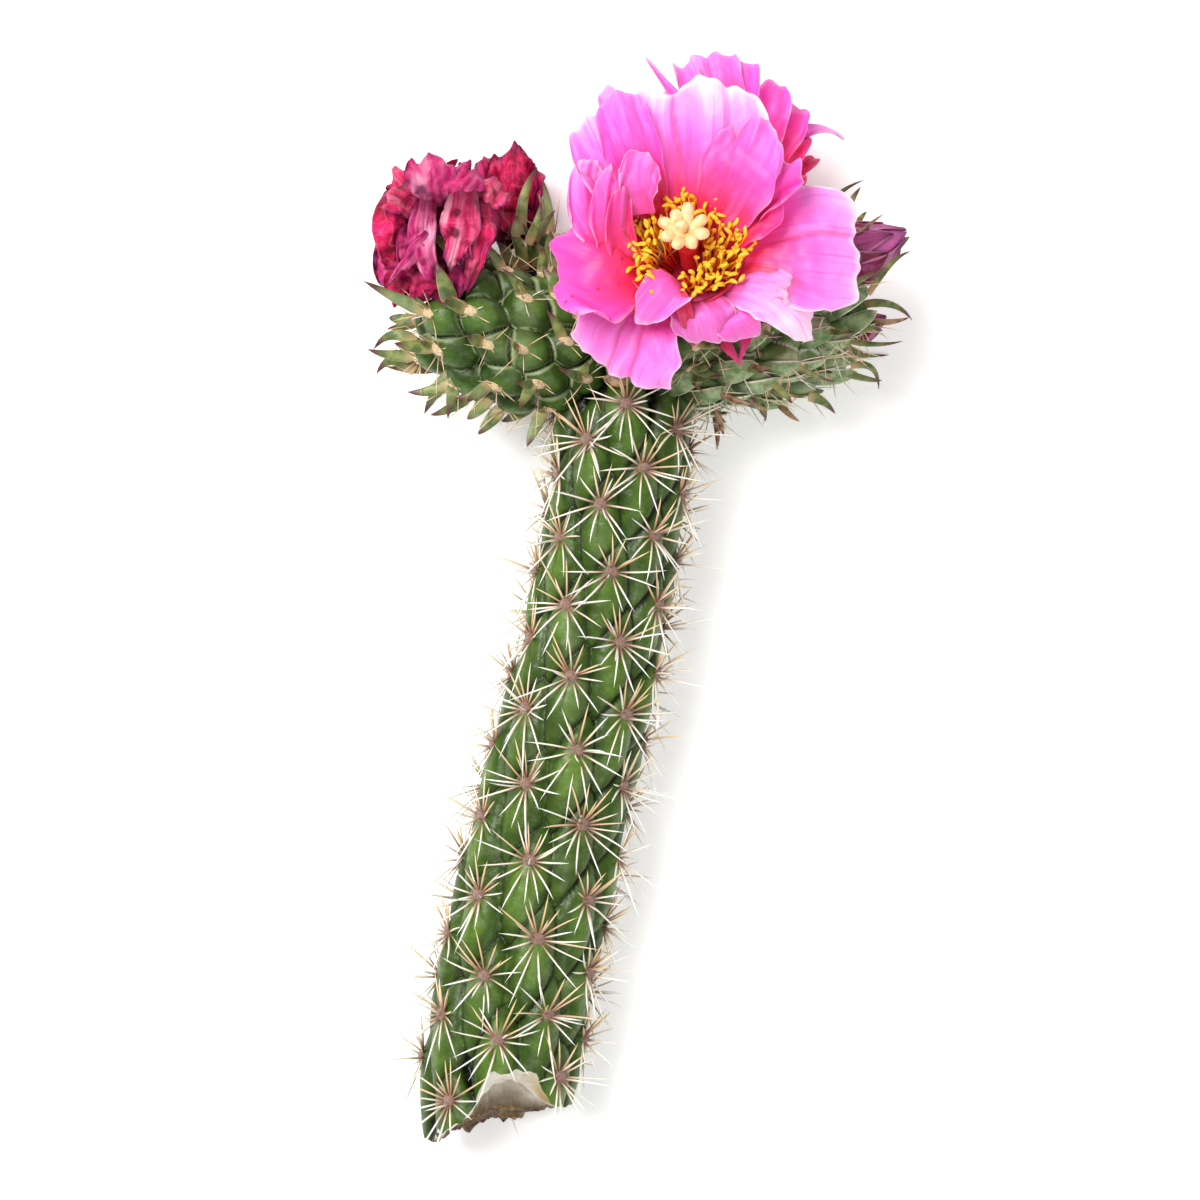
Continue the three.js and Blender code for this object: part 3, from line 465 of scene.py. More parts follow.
def flesh_look():
    """Cut flesh, pale and pitted. along is its brown bark, across its white peel and tone yellowed skin."""
    look = Look("pale_flesh", roughness=0.5, subsurface_weight=0.2, subsurface_scale=0.0015)
    patch, grain = look.noise(4.0, 5, 0.65), look.noise(0.8, 4, 0.7)
    base = look.ramp(patch, (0.3, 0xc2baa8), (0.48, 0xd8d0c0), (0.62, 0xe8e2d6), (0.8, 0xf4f0e6))
    base = look.blend(look.span(grain, 0.5, 0.75, 0, 0.35), base, colour(0xa89c84))
    base = look.blend(look.span(look.cells(2.4), 0.0, 0.1, 0.9, 0), base, colour(0x2c2114))
    base = look.blend(look.across, base, colour(0xdde0c8))
    base = look.blend(look.tone, base, colour(0x8f7426))
    rough = look.math("ADD", patch, look.math("MULTIPLY", grain, 0.4))
    bark = look.ramp(rough, (0.45, 0x201204), (0.6, 0x4a2c0c), (0.76, 0x6a5218), (0.95, 0xb98e54))
    base = look.blend(look.along, base, bark)
    return look.finish(base, None, [(patch, 0.5), (grain, 0.25)])


STEM_GREEN = green_skin("stem_green", 0x090d02, 0x365011, 0x5a7a28, 0x7c9060)
FRUIT_GREEN = green_skin("fruit_green", 0x050801, 0x2c4410, 0x4e6e2a, 0x7e945e, lining=0.5)
GREY_GREEN = green_skin("grey_green", 0x080b02, 0x648044, 0xb2c490, 0xd8dec4, 0xf4f2e0, 0.6)
PETAL_PINK = petal_look()
SPINE = spine_look()
STEM_WOOL = wool_look("stem_wool", 0x62443a, 0xa5826f)
FRUIT_WOOL = wool_look("fruit_wool", 0xb08a58, 0xe8d8b0)
LEAF = leaf_look()
SCALE_GREEN = scale_look()
WILTED_MAGENTA = wilted_look()
BUD_PURPLE = bud_look()
STAMEN = stamen_look()
STYLE_RED = smooth_tissue("style_red", 0xd81420, 0xf43c3c, 0.4)
STIGMA_CREAM = smooth_tissue("stigma_cream", 0xeab878, 0xfbdcae, 0.5)
FLESH = flesh_look()


# Green bodies: a smooth core with tubercles that swell round their areoles

def frames(core, turn, along):
    """Position and the lengthwise, crosswise and outward ways of a core's surface."""
    step = 1e-3
    lengthwise = unit(core(turn, along + step) - core(turn, along - step))
    crosswise = unit(core(turn + step, along) - core(turn - step, along))
    return core(turn, along), lengthwise, crosswise, unit(np.cross(lengthwise, crosswise))


class GreenBody:
    """A core with a tubercle at each turn and place along it. sunk lowers the valleys between them, tilt
    raises their far ends like scales."""

    POINTS_AT_A_TIME = 20000

    def __init__(self, core, around, alongs, half_length, half_width, height, shift, sunk, tilt=0.0):
        self.core, self.alongs, self.height, self.sunk, self.tilt = core, alongs, height, sunk, tilt
        self.half_length, self.half_width = half_length, half_width
        self.sites, self.lengthwise, self.crosswise, self.outward = frames(core, around, alongs)
        self.middles = self.sites + self.lengthwise * shift
        self.sizes = mix(0.88, 1.08, scatter(np.arange(len(alongs)) * 1.7 + half_width))

    def relief(self, points):
        """For each point of the core its height from 0 to 1, its distance from a crease and its place along
        its tubercle from 0 to 1."""
        flat = points.reshape(-1, 3)
        result = np.zeros((len(flat), 3))
        for first in range(0, len(flat), self.POINTS_AT_A_TIME):
            here = slice(first, first + self.POINTS_AT_A_TIME)
            apart = flat[here, None] - self.middles
            ahead = dot(apart, self.lengthwise) / self.half_length
            far = ahead ** 2 + (dot(apart, self.crosswise) / self.half_width) ** 2
            far += (dot(apart, self.outward) / self.half_length) ** 2
            dome = np.clip(1 - far, 0, 1) ** 0.5 * self.sizes * (1 + self.tilt * ahead)
            dome = np.clip(dome, 0, None)
            highest = dome.argmax(1)[:, None]
            best = np.take_along_axis(dome, highest, 1)[:, 0]
            place = np.take_along_axis(ahead, highest, 1)[:, 0]
            height = (dome ** 16).sum(1) ** (1 / 16)
            np.put_along_axis(dome, highest, 0, 1)
            result[here] = np.stack([height, best - dome.max(1), (place + 1) / 2], -1)
        return result.reshape(*points.shape[:-1], 3)

    def surface(self, turn, along, fine=0.12, seed=1, groove=0.9, levelled=0.0):
        """Points of the skin and their marks: height, distance from a crease and place along the tubercle.
        levelled is the share of its relief that is gone at its far end."""
        position, _, _, outward = frames(self.core, turn, np.clip(along, 0.002, 0.998))
        marks = self.relief(position)
        rough = fine * lumps(position, 3.5, seed) + fine * 0.4 * lumps(position, 1.3, seed + 1)
        lift = marks[..., 0] * self.height - self.sunk - groove * np.exp(-(marks[..., 1] / 0.1) ** 2) + rough
        lift = mix(lift, 0.6 * self.height - self.sunk, levelled * smooth(0.92, 1, along))
        lowest, highest = np.quantile(marks[..., 0], [0.03, 0.97])
        marks[..., 0] = (marks[..., 0] - lowest) / (highest - lowest)
        return self.core(turn, along) + outward * lift[..., None], marks

    def hubs(self, sink=0.0):
        """Where the areoles sit, let in by sink."""
        lift = self.relief(self.sites)[:, 0] * self.height - self.sunk - sink
        return self.sites + self.outward * lift[:, None]


# The stem

STEM_LENGTH, STEM_TOP, STEM_BASE_HEIGHT = 148, vec(-4.1, 45, 22.6), 13.6
STEM_LEAN, STEM_RETURN = 66.3, 40.6
TOP_RADIUS, BASE_RADIUS, VALLEY_DEPTH = 14.2, 16.6, 3.1
STEM_SIDES, STEM_RINGS, CUT_RINGS = 168, 300, 50
CROWN, CUT, ABOVE_TOP = 0.05, 0.99, 0.03
AREOLES, FIRST_AREOLE_TURN, LAST_AREOLE = 84, 87.65, 0.97
AREOLE_START, AREOLE_STEP, AREOLE_STRETCH, SLANT = 1, 1.56, 0.00235, 1.019
TUBERCLE_HALF_LENGTH, TUBERCLE_HALF_WIDTH, TUBERCLE_HEIGHT, TUBERCLE_SHIFT = 13.5, 5.0, 4.4, 4.6
RIM_LEVELLED = 0.6
CUT_FACING, CUT_DOWN, HOLLOW_DEPTH = vec(0.16, -0.9, 0.4), vec(-0.35, -0.38, -0.86), 5.0

# Where the cut rim lies down the stem, at turns from the front towards the right
RIM_TURNS = (-180, -120, -75, -40, -22, -8, 10, 28, 44, 62, 80, 110, 150, 180)
RIM_PLACES = (1.03, 1.044, 1.042, 1.024, 1.0, 0.938, 0.924, 0.938, 0.975, 0.986, 0.974, 0.98, 1.01, 1.03)


def stem_middle(t):
    x = STEM_TOP[0] - STEM_LEAN * t ** 2 + STEM_RETURN * t ** 3
    return np.stack([x, STEM_TOP[1] - STEM_LENGTH * t, mix(STEM_TOP[2], STEM_BASE_HEIGHT, t)], -1)


def cut_end(turn):
    """How far down the stem its cut rim lies: it arches up in front, to the right of the middle."""
    degrees = (np.degrees(turn) + 180) % 360 - 180
    ragged = 0.003 * np.sin(5 * turn + 1) + 0.002 * np.sin(11 * turn)
    return np.interp(degrees, RIM_TURNS, RIM_PLACES) + ragged


def stem_core(turn, along):
    turn, along = np.broadcast_arrays(np.asarray(turn, float), np.asarray(along, float))
    domed = np.clip(1 - along / CROWN, 0, 1)
    capped = np.where(along > CUT, (1 - along) / (1 - CUT), 1)
    narrowed = np.sqrt(np.clip(1 - domed * domed, 0, 1)) * capped
    end = cut_end(turn)
    moved = np.where(end < 1, smooth(0.84, CUT, along), smooth(0.95, CUT, along))
    rim = mix(1, end, moved * capped)
    t = mix(-ABOVE_TOP, rim, np.minimum(along, CUT) / CUT)
    radius = (mix(TOP_RADIUS, BASE_RADIUS, smooth(0.2, 0.85, t)) - VALLEY_DEPTH) * narrowed
    run = unit(stem_middle(t + 0.01) - stem_middle(t - 0.01))
    right = unit(np.cross(vec(0, 0, 1), run))
    front = np.cross(run, right)
    out = right * np.sin(turn)[..., None] + front * np.cos(turn)[..., None]
    return stem_middle(t) + out * radius[..., None]


def stem_body():
    """The stem with its areoles on one spiral, each a little further from the last."""
    areole = np.arange(AREOLES)
    down = AREOLE_START + AREOLE_STEP * areole + AREOLE_STRETCH * areole ** 2
    along = (down / (STEM_LENGTH * SLANT) + ABOVE_TOP) / (1 + ABOVE_TOP) * CUT
    turn = np.radians(FIRST_AREOLE_TURN + GOLDEN_TURN * areole)
    kept = along < LAST_AREOLE
    return GreenBody(stem_core, turn[kept], along[kept], TUBERCLE_HALF_LENGTH, TUBERCLE_HALF_WIDTH,
                     TUBERCLE_HEIGHT, TUBERCLE_SHIFT, TUBERCLE_HEIGHT - VALLEY_DEPTH)


stem = stem_body()


def build_stem_skin():
    """The skin. Its rim is returned."""
    turn = turns(STEM_SIDES)
    ragged = 0.003 * np.sin(9 * turn + 1) + 0.0015 * np.sin(23 * turn) + 0.0012 * np.sin(41 * turn + 2)
    along = np.linspace(0, 1, STEM_RINGS)[:, None] * (CUT - 0.0055 + ragged)[None, :]
    points, marks = stem.surface(turn[None, :], along, levelled=RIM_LEVELLED)
    skin = Shape()
    skin.grid(points, marks)
    skin.place("stem_skin", STEM_GREEN, "stem_green", "stem")
    return points[-1]


def build_cut_face(rim):
    """The cut face, hollow above and with a band of dried bark below."""
    turn, centre = turns(STEM_SIDES)[None, :], stem_middle(np.array(0.985))
    inward = np.linspace(0, 1, CUT_RINGS)[:, None]
    evened = sum(np.roll(rim, k, 0) for k in range(-12, 13)) / 25
    face = mix(mix(rim[None], evened[None], smooth(0, 0.4, inward)[..., None]), centre, inward[..., None])
    fall = dot(face - centre, unit(CUT_DOWN)) + 0.9 * lumps(face, 6, 5) + 0.5 * lumps(face, 1.8, 6)
    band = smooth(2.6, 3.8, fall)
    flesh = HOLLOW_DEPTH * smooth(0.1, 0.75, inward) + 0.4 * lumps(face, 4, 7) + 0.15 * lumps(face, 1.3, 8)
    bark = -0.5 + 0.6 * lumps(face, 3, 9) + 0.25 * lumps(face, 1.1, 10)
    depth = mix(flesh, bark, band) * smooth(0, 0.05, inward)
    face = face - unit(CUT_FACING) * depth[..., None]
    peel = smooth(0.22, 0.04, inward) * (0.35 + 0.65 * smooth(0.2, 0.9, -np.sin(turn)))
    flap = smooth(0.3, 0.1, inward) * np.exp(-((turn - 0.8) / 0.35) ** 2)
    cut = Shape()
    cut.grid(face[::-1], stacked(band, peel, flap)[::-1])
    cut.place("cut_flesh_face", FLESH, "pale_flesh", "cut_flesh")


def bent_spines(shape, roots, ways, lengths, bend, radius, tone, sides=4, steps=5):
    """Tapered spines from roots. One that would pass through the surface below lies along it."""
    share = np.linspace(0, 1, steps)[None, :, None]
    paths = roots[:, None] + ways[:, None] * lengths[:, None, None] * share
    paths = paths + bend[:, None] * share ** 2 * lengths[:, None, None]
    paths[..., 2] = np.maximum(paths[..., 2], 0.35)
    taper = np.where(share[..., 0] > 0.99, 0.04, 1 - 0.5 * share[..., 0] ** 1.5)
    shape.tubes(paths, np.reshape(radius, (-1, 1)) * taper, sides, tone)


def star(hubs, lengthwise, crosswise, outward, counts, seed, low_lean, high_lean, length):
    """Roots, ways, lengths, how far they point along, and seeds of spines that spread from each hub."""
    parts = []
    for k, count in enumerate(counts):
        i = np.arange(count)
        own = seed + 31.7 * k
        turn = (i + 0.5 + 0.35 * spread(own + i)) / count * TAU + scatter(own) * TAU
        lean = np.radians(mix(low_lean, high_lean, scatter(own + 7 + i * 1.3)))
        flat = crosswise[k] * np.cos(turn)[:, None] + lengthwise[k] * np.sin(turn)[:, None]
        way = flat * np.sin(lean)[:, None] + outward[k] * np.cos(lean)[:, None]
        size = length * mix(0.7, 1.15, scatter(own + 3 + i * 1.9)) * (1 + 0.26 * np.sin(turn))
        parts.append((hubs[k] + flat * 0.7, way, size, np.sin(turn), own + i))
    return [np.concatenate(values) for values in zip(*parts)]


def build_stem_spines():
    """A star of 12 to 15 spines and three that stand out on each areole."""
    hubs, count = stem.hubs(0.35), len(stem.alongs)
    ways = stem.lengthwise, stem.crosswise, unit(stem.outward - 0.32 * stem.lengthwise)
    radial = star(hubs, *ways, [12 + int(4 * scatter(k)) for k in range(count)], seed=11,
                  low_lean=56, high_lean=84, length=10.2)
    central = star(hubs, *ways, [3] * count, seed=501, low_lean=12, high_lean=46, length=9.8)
    spines = Shape()
    for roots, headings, sizes, downward, seeds in (radial, central):
        bend = 0.1 * stacked(spread(seeds * 1.1), spread(seeds * 1.3 + 5), spread(seeds * 1.7 + 9))
        tone = np.clip(0.62 + 0.4 * downward + 0.3 * spread(seeds + 2), 0, 1)
        bent_spines(spines, roots, headings, sizes, bend, 0.2 + 0.06 * scatter(seeds), tone)
    spines.place("stem_spines", SPINE, "stem_green", "stem")


def build_stem_areoles():
    """Woolly pads with short hairs."""
    count = len(stem.alongs)
    outward = unit(stem.outward - 0.32 * stem.lengthwise)
    axes = np.stack([stem.crosswise, stem.lengthwise, outward], 1)
    sizes = stacked(1.35, 1.15 + 0.2 * scatter(np.arange(count)), 0.95)
    wool = Shape()
    wool.blobs(stem.hubs(0.15), axes, sizes, rough=0.16, seed=3)
    hair = star(stem.hubs(), stem.lengthwise, stem.crosswise, outward, [18] * count, seed=900,
                low_lean=5, high_lean=80, length=1.6)
    roots, ways, lengths, _, seeds = hair
    bent_spines(wool, roots, ways, lengths, 0.2 * ways[:, ::-1], 0.05, scatter(seeds), sides=3, steps=3)
    wool.place("stem_areoles", STEM_WOOL, "stem_green", "stem")


# The fruits

class Fruit:
    """A fruit from its foot to the rim of its hollow tip, covered with tubercles on a spiral."""

    def __init__(self, name, foot, tip, radius, hollow, tubercles, width, phase, grey=False):
        self.name, self.foot, self.tip, self.radius, self.hollow = name, vec(*foot), vec(*tip), radius, hollow
        self.width, self.grey, self.seed = width, grey, phase
        self.axis = unit(self.tip - self.foot)
        self.length = np.linalg.norm(self.tip - self.foot)
        k = np.arange(tubercles)
        around = np.radians(GOLDEN_TURN * k + phase) + 0.15 * spread(k * 2.3 + phase)
        alongs = np.arccos(1 - 2 * mix(0.14, 0.93, (k + 0.5) / tubercles)) / math.pi
        alongs = alongs + 0.018 * spread(k * 3.1 + phase)
        if grey:
            form = dict(half_length=width * 0.9, half_width=width * 0.56, height=4.8, shift=-width * 0.35,
                        sunk=2.6, tilt=0.7)
        else:
            form = dict(half_length=width * 0.68, half_width=width * 0.57, height=5.0, shift=-width * 0.2,
                        sunk=2.7, tilt=0.12)
        self.body = GreenBody(self.core, around, alongs, **form)

    def core(self, turn, along):
        turn, along = np.broadcast_arrays(np.asarray(turn, float), np.asarray(along, float))
        right = unit(np.cross(vec(0, 0, 1), self.axis))
        front = np.cross(self.axis, right)
        rounded = np.sin(math.pi * np.clip(along, 0, 1)) ** 0.72
        radius = self.radius * rounded * mix(0.66, 1, smooth(0.05, 0.6, along))
        share = (1 - np.cos(math.pi * along)) / 2
        reach = share * self.length - self.hollow * smooth(0.84, 1, along)
        out = right * np.sin(turn)[..., None] + front * np.cos(turn)[..., None]
        return self.foot + self.axis * reach[..., None] + out * radius[..., None]


# Name, foot, tip, radius, depth of the hollow, number and width of the tubercles and turn of the first one
FRUITS = [
    Fruit("left_front_fruit", (-7, 45, 24.5), (-45, 61.5, 26), 12.4, 2.4, 36, 8.8, 20),
    Fruit("right_front_fruit", (-1, 44, 24), (42.6, 65, 25.2), 9.4, 2, 48, 7.2, 70, grey=True),
    Fruit("left_back_fruit", (-8, 46, 13), (-27, 74, 8.6), 10, 2, 20, 8.8, 140),
    Fruit("right_back_fruit", (2, 46, 12), (42, 55.5, 7.2), 8.4, 1.6, 22, 8, 210, grey=True),
    Fruit("back_fruit", (-2, 50, 16), (19, 77, 15), 9.2, 2, 18, 8.8, 320),
    Fruit("centre_fruit", (0, 49, 26.6), (9, 66, 46.6), 9.4, 3.6, 18, 8.4, 250),
]


def build_fruit(fruit):
    sides, rings = (152, 124) if "front" in fruit.name else (112, 84)
    along = np.linspace(0, 1, rings)[:, None]
    turn = turns(sides)[None, :]
    points, marks = fruit.body.surface(turn, along, fine=0.1, seed=fruit.seed, groove=0.7)
    skin = Shape()
    skin.grid(points, marks)
    skin.place(fruit.name + "_skin", GREY_GREEN if fruit.grey else FRUIT_GREEN, "fruit_green", fruit.name)


def bent_paths(rows, steps=11):
    """Curves from each root through its middle to its tip."""
    root, middle, tip = (np.array([row[k] for row in rows], float)[:, None] for k in range(3))
    share = np.linspace(0, 1, steps)[None, :, None]
    return curve(root, 2 * middle - (root + tip) / 2, tip, share)


def leaves_along(shape, paths, half_widths, tone):
    """Curved pointed leaves whose flat sides lie along the way that they lean."""
    share = np.linspace(0, 1, paths.shape[1])[None, :]
    outline = (1 - share ** 1.7) ** 0.85 * mix(0.8, 1, smooth(0, 0.2, share))
    shape.tubes(paths, outline * np.reshape(half_widths, (-1, 1)) + 0.03, 10, tone, flatness=0.3)


def scales_along(shape, paths, half_widths, tone, level=(0, 0, 1)):
    """Broad blunt scales that face level."""
    share = np.linspace(0, 1, paths.shape[1])[None, :]
    outline = (1 - share ** 3) ** 0.6 * mix(0.75, 1, smooth(0, 0.3, share))
    radii = outline * np.reshape(half_widths, (-1, 1)) + 0.03
    shape.tubes(paths, radii, 16, tone, flatness=0.26, level=level)


# The root, middle and tip of the leaves that stand out from the fruits, and half their width
LONG_LEAVES = [
    # Round the left fruit
    ((-24.8, 74.6, 22), (-24.2, 82.4, 23), (-21.6, 88, 21), 1.2),
    ((-23.4, 72.6, 24), (-21.6, 76.8, 26), (-20.8, 81.2, 25), 1.1),
    ((-22.8, 72.6, 22), (-20.6, 76, 22), (-18, 79.6, 20), 1.1),
    ((-25.8, 74, 26), (-25.8, 76, 28), (-25.6, 78.2, 28), 1.0),
    ((-38.6, 59.8, 38), (-40, 64, 45), (-41.4, 67.6, 46), 1.8),
    ((-45.8, 52.8, 24), (-50.8, 54.2, 24), (-54.6, 51.4, 21), 1.3),
    ((-46.2, 47.2, 20), (-50.8, 49.4, 19), (-54.2, 46.6, 16), 1.5),
    ((-38.2, 46.6, 27), (-41.6, 43, 26), (-44.4, 38.4, 22), 1.7),
    ((-37.2, 46.6, 29), (-38.6, 42.4, 28), (-39.6, 37.4, 24), 1.6),
    ((-31.2, 41.6, 26), (-34, 38.8, 24), (-35.8, 37.4, 22), 1.5),
    ((-22.4, 40.6, 24), (-26, 38.2, 22), (-29, 37, 20), 1.5),
    ((-24.4, 67.6, 20), (-25.4, 72.6, 24), (-27.8, 76.6, 25), 1.4),
    ((-22.6, 68.4, 18), (-22.8, 72.6, 22), (-24.6, 76.8, 23), 1.3),
    # Round the bud
    ((39.4, 78, 22), (38.6, 82, 23), (44.2, 85.6, 21), 0.8),
    ((40, 77.6, 24), (41.4, 81, 25), (43.4, 84, 24), 0.9),
    ((42.6, 76.6, 24), (43.6, 78, 25), (44.6, 79, 24), 0.6),
    ((49.6, 70.6, 26), (52, 73, 26), (53.2, 74, 24), 0.7),
    ((44.6, 62, 32), (49, 68, 32), (53.2, 70.8, 29), 0.7),
    # Below the right fruit
    ((43.4, 60.2, 25), (49.4, 60.2, 27), (53.8, 57.2, 23), 0.9),
    ((42, 55, 27), (45, 55.4, 28), (47.8, 55, 26), 0.9),
    ((41, 51, 26), (42.8, 50.6, 27), (44, 50, 26), 0.9),
    ((41.4, 48, 24), (45.6, 47.6, 24), (47.2, 43.4, 20), 0.8),
    ((33, 42, 20), (36, 41, 19), (38.6, 38.6, 16), 1.1),
    ((20.4, 43, 22), (23.4, 40.4, 22), (24.4, 37, 18), 1.1),
]
# The root, middle and tip of the big scales at the end of the right fruit, and half their width
END_SCALES = [
    ((33.6, 57.2, 31.5), (39.8, 61.2, 32.8), (45, 63, 29.5), 2.9),
    ((34.5, 53, 27), (40.5, 55.6, 29), (46.6, 59, 26.5), 2.3),
]
# The root, middle and tip of dried scraps beside the flower, and half their width
DRIED_SCRAPS = [
    ((-14.6, 66, 33), (-11.4, 63, 36), (-11.8, 58, 34), 2.6),
    ((-16.4, 62, 32), (-13.4, 59.6, 35), (-13.6, 55.6, 33), 2.0),
    ((-11.6, 68.4, 33), (-10, 65, 36), (-10.4, 62, 34), 1.6),
    ((-7.6, 46.2, 34), (-4.6, 45.2, 36), (-2.6, 43.6, 34), 2.2),
    ((24, 56, 33), (22.6, 52.6, 35), (23.4, 49.4, 33), 1.2),
    ((18, 52.6, 33), (17, 49.6, 34), (18.8, 47, 32), 1.4),
]
# Length, half width and veer to the sides of a fruit's long leaves and of its short ones
LEAF_LAYERS = [(11.5, 1.35, 0.3), (7.5, 1.0, 1.3)]
DRIED = 2.0


def add_placed_leaves(leaves, scales):
    """The leaves, scraps and scales that stand out in the photo."""
    tone = scatter(np.arange(len(LONG_LEAVES)))
    leaves_along(leaves, bent_paths(LONG_LEAVES), [row[3] for row in LONG_LEAVES], tone)
    scraps = bent_paths(DRIED_SCRAPS)
    scraps = scraps + 0.7 * np.stack([lumps(scraps, 3, seed) for seed in range(3)], -1)
    leaves_along(leaves, scraps, [row[3] for row in DRIED_SCRAPS], DRIED)
    scales_along(scales, bent_paths(END_SCALES, 15), [row[3] for row in END_SCALES], 0.5)


def add_leaves(leaves, fruit, hubs, seed):
    """Leaves on a fruit's areoles, longer towards its tip. A grey fruit has fewer and more are dried."""
    body = fruit.body
    share = np.linspace(0, 1, 11)[None, :, None]
    for layer, (size, width, veer) in enumerate(LEAF_LAYERS):
        own = seed + 1000 * layer
        forward = 0.2 + 0.9 * body.alongs + 0.3 * spread(own + 2)
        heading = body.outward + fruit.axis * forward[:, None]
        heading = unit(heading + body.crosswise * (veer * spread(own + 1))[:, None])
        length = size * mix(0.65, 1.15, scatter(own)) * mix(0.85, 1.25, body.alongs)
        thin, bare, dried = (0.5, 0.2 + 0.5 * layer, 0.3) if fruit.grey else (1.0, 0.4 * layer, 0.1)
        curl = (fruit.axis * spread(own + 7)[:, None] - 0.9 * body.outward) * (length * 0.3)[:, None]
        paths = hubs[:, None] + heading[:, None] * length[:, None, None] * share + curl[:, None] * share ** 2
        paths = paths + body.lengthwise[:, None] * 1.2
        paths[..., 2] = np.maximum(paths[..., 2], 0.6)
        shown = scatter(own + 17) > bare
        half = thin * width * mix(0.8, 1.2, scatter(own + 5))
        tone = np.where(scatter(own + 23) < dried, DRIED, scatter(own))
        leaves_along(leaves, paths[shown], half[shown], tone[shown])


def add_scales(scales, fruit, hubs, seed):
    """Overlapping scales on a fruit's tubercles, which point to its tip."""
    body = fruit.body
    share = np.linspace(0, 1, 15)[None, :, None]
    heading = unit(fruit.axis + 0.3 * body.outward + 0.25 * body.crosswise * spread(seed + 41)[:, None])
    length = fruit.width * mix(1.15, 1.5, scatter(seed + 43))
    root = hubs - heading * (length * 0.62)[:, None] - body.outward * 0.8
    paths = root[:, None] + heading[:, None] * length[:, None, None] * share
    paths = paths + (body.outward * 4.2)[:, None] * share * (1.15 - share)
    half = fruit.width * mix(0.32, 0.42, scatter(seed + 47))
    scales_along(scales, paths, half, scatter(seed + 53), body.outward)


def add_areoles(wool, bristles, fruit, hubs, seed, order):
    """A woolly pad and a few bristles on each tubercle, with more bristles near the fruit's tip."""
    body = fruit.body
    axes = np.stack([body.crosswise, body.lengthwise, body.outward], 1)
    sizes = stacked(mix(0.9, 1.2, scatter(seed + 8)), mix(1.7, 2.3, scatter(seed + 9)), 0.6)
    wool.blobs(hubs + body.outward * 0.3 + body.lengthwise * 0.6, axes, sizes, rough=0.1, seed=order)
    counts = np.where(body.alongs > 0.7, 9, 5)
    made = star(hubs, body.lengthwise, body.crosswise, body.outward, counts, seed=70 + order,
                low_lean=20, high_lean=80, length=8.0)
    roots, ways, lengths, _, seeds = made
    bend = 0.15 * stacked(spread(seeds), spread(seeds + 5), spread(seeds + 9))
    lengths = lengths * mix(0.5, 1.2, scatter(seeds + 13))
    bent_spines(bristles, roots, ways, lengths, bend, 0.13, 0.6 * scatter(seeds))


def build_fruit_dress():
    """Leaves, woolly areoles and bristles of all the fruits, and the scales of the grey ones."""
    leaves, wool, bristles, scales = Shape(), Shape(), Shape(), Shape()
    add_placed_leaves(leaves, scales)
    for order, fruit in enumerate(FRUITS):
        hubs = fruit.body.hubs(0.4)
        seed = 100 * order + np.arange(len(hubs))
        add_leaves(leaves, fruit, hubs, seed)
        if fruit.grey:
            add_scales(scales, fruit, hubs, seed)
        add_areoles(wool, bristles, fruit, hubs, seed, order)
    names = [fruit.name for fruit in FRUITS]
    scales.place("fruit_scales", SCALE_GREEN, "fruit_green", *[fruit.name for fruit in FRUITS if fruit.grey])
    leaves.place("fruit_leaves", LEAF, "fruit_green", *names)
    wool.place("fruit_areoles", FRUIT_WOOL, "fruit_green", *names)
    bristles.place("fruit_bristles", SPINE, "fruit_green", *names)


# Flowers

PETAL_THICKNESS = 0.4


class Flower:
    """A flower's axes: out of its throat, to its side, and towards its petal at a quarter turn."""

    def __init__(self, origin, axis, reference):
        self.origin, self.out = vec(*origin), unit(vec(*axis))
        self.side = unit(np.cross(vec(*reference), self.out))
        self.up = np.cross(self.out, self.side)

    def place(self, turn, reach, height):
        """Points at a turn, at reach from its axis and at height over its origin."""
        right, ahead, over = np.broadcast_arrays(np.cos(turn) * reach, np.sin(turn) * reach, height)
        parts = right[..., None] * self.side + ahead[..., None] * self.up
        return self.origin + parts + over[..., None] * self.out


def petal(root, knee, tip, narrow, wide, **form):
    """A petal's course, given to the right, ahead and above its flower's foot, its widths and its form.

    bowl, left and right are the degrees that it and its sides roll, ruffle and waves its broad waves and
    frill those of its edge. blunt and point shape the tip and folds are creases at -1 to 1 across it. pale
    and red tint it and light moves it out of the throat's red. facing is the way that its upper side
    faces, where it isn't its flower's.
    """
    usual = dict(bowl=8, left=30, right=30, ruffle=1.0, waves=3, frill=1.0, phase=0.0, blunt=0.2, point=0.0,
                 folds=(), pale=0.3, red=0.0, light=0.0, facing=None)
    return dict(usual, root=root, knee=knee, tip=tip, narrow=narrow, wide=wide, **form)


def trimmed(form, across, share, size, frill):
    """How far along its course each point of a petal lies: the tip is rounded, notched and split at folds."""
    phase = form["phase"]
    notch = 0.03 * np.sin(2.1 * across * form["waves"] + 2 * phase) + 0.012 * np.sin(9 * across + 5 * phase)
    notch = (notch + 0.007 * np.sin(23 * across + 3 * phase)) * min(size, 1) ** 1.5
    rounded = form["blunt"] * (0.55 * across ** 2 + 0.7 * across ** 8)
    along = share * (1 - rounded + notch * frill * share ** 3)
    for fold in form["folds"]:
        along = along - 0.015 * share ** 6 * np.exp(-((across - fold) / 0.06) ** 2)
    return along


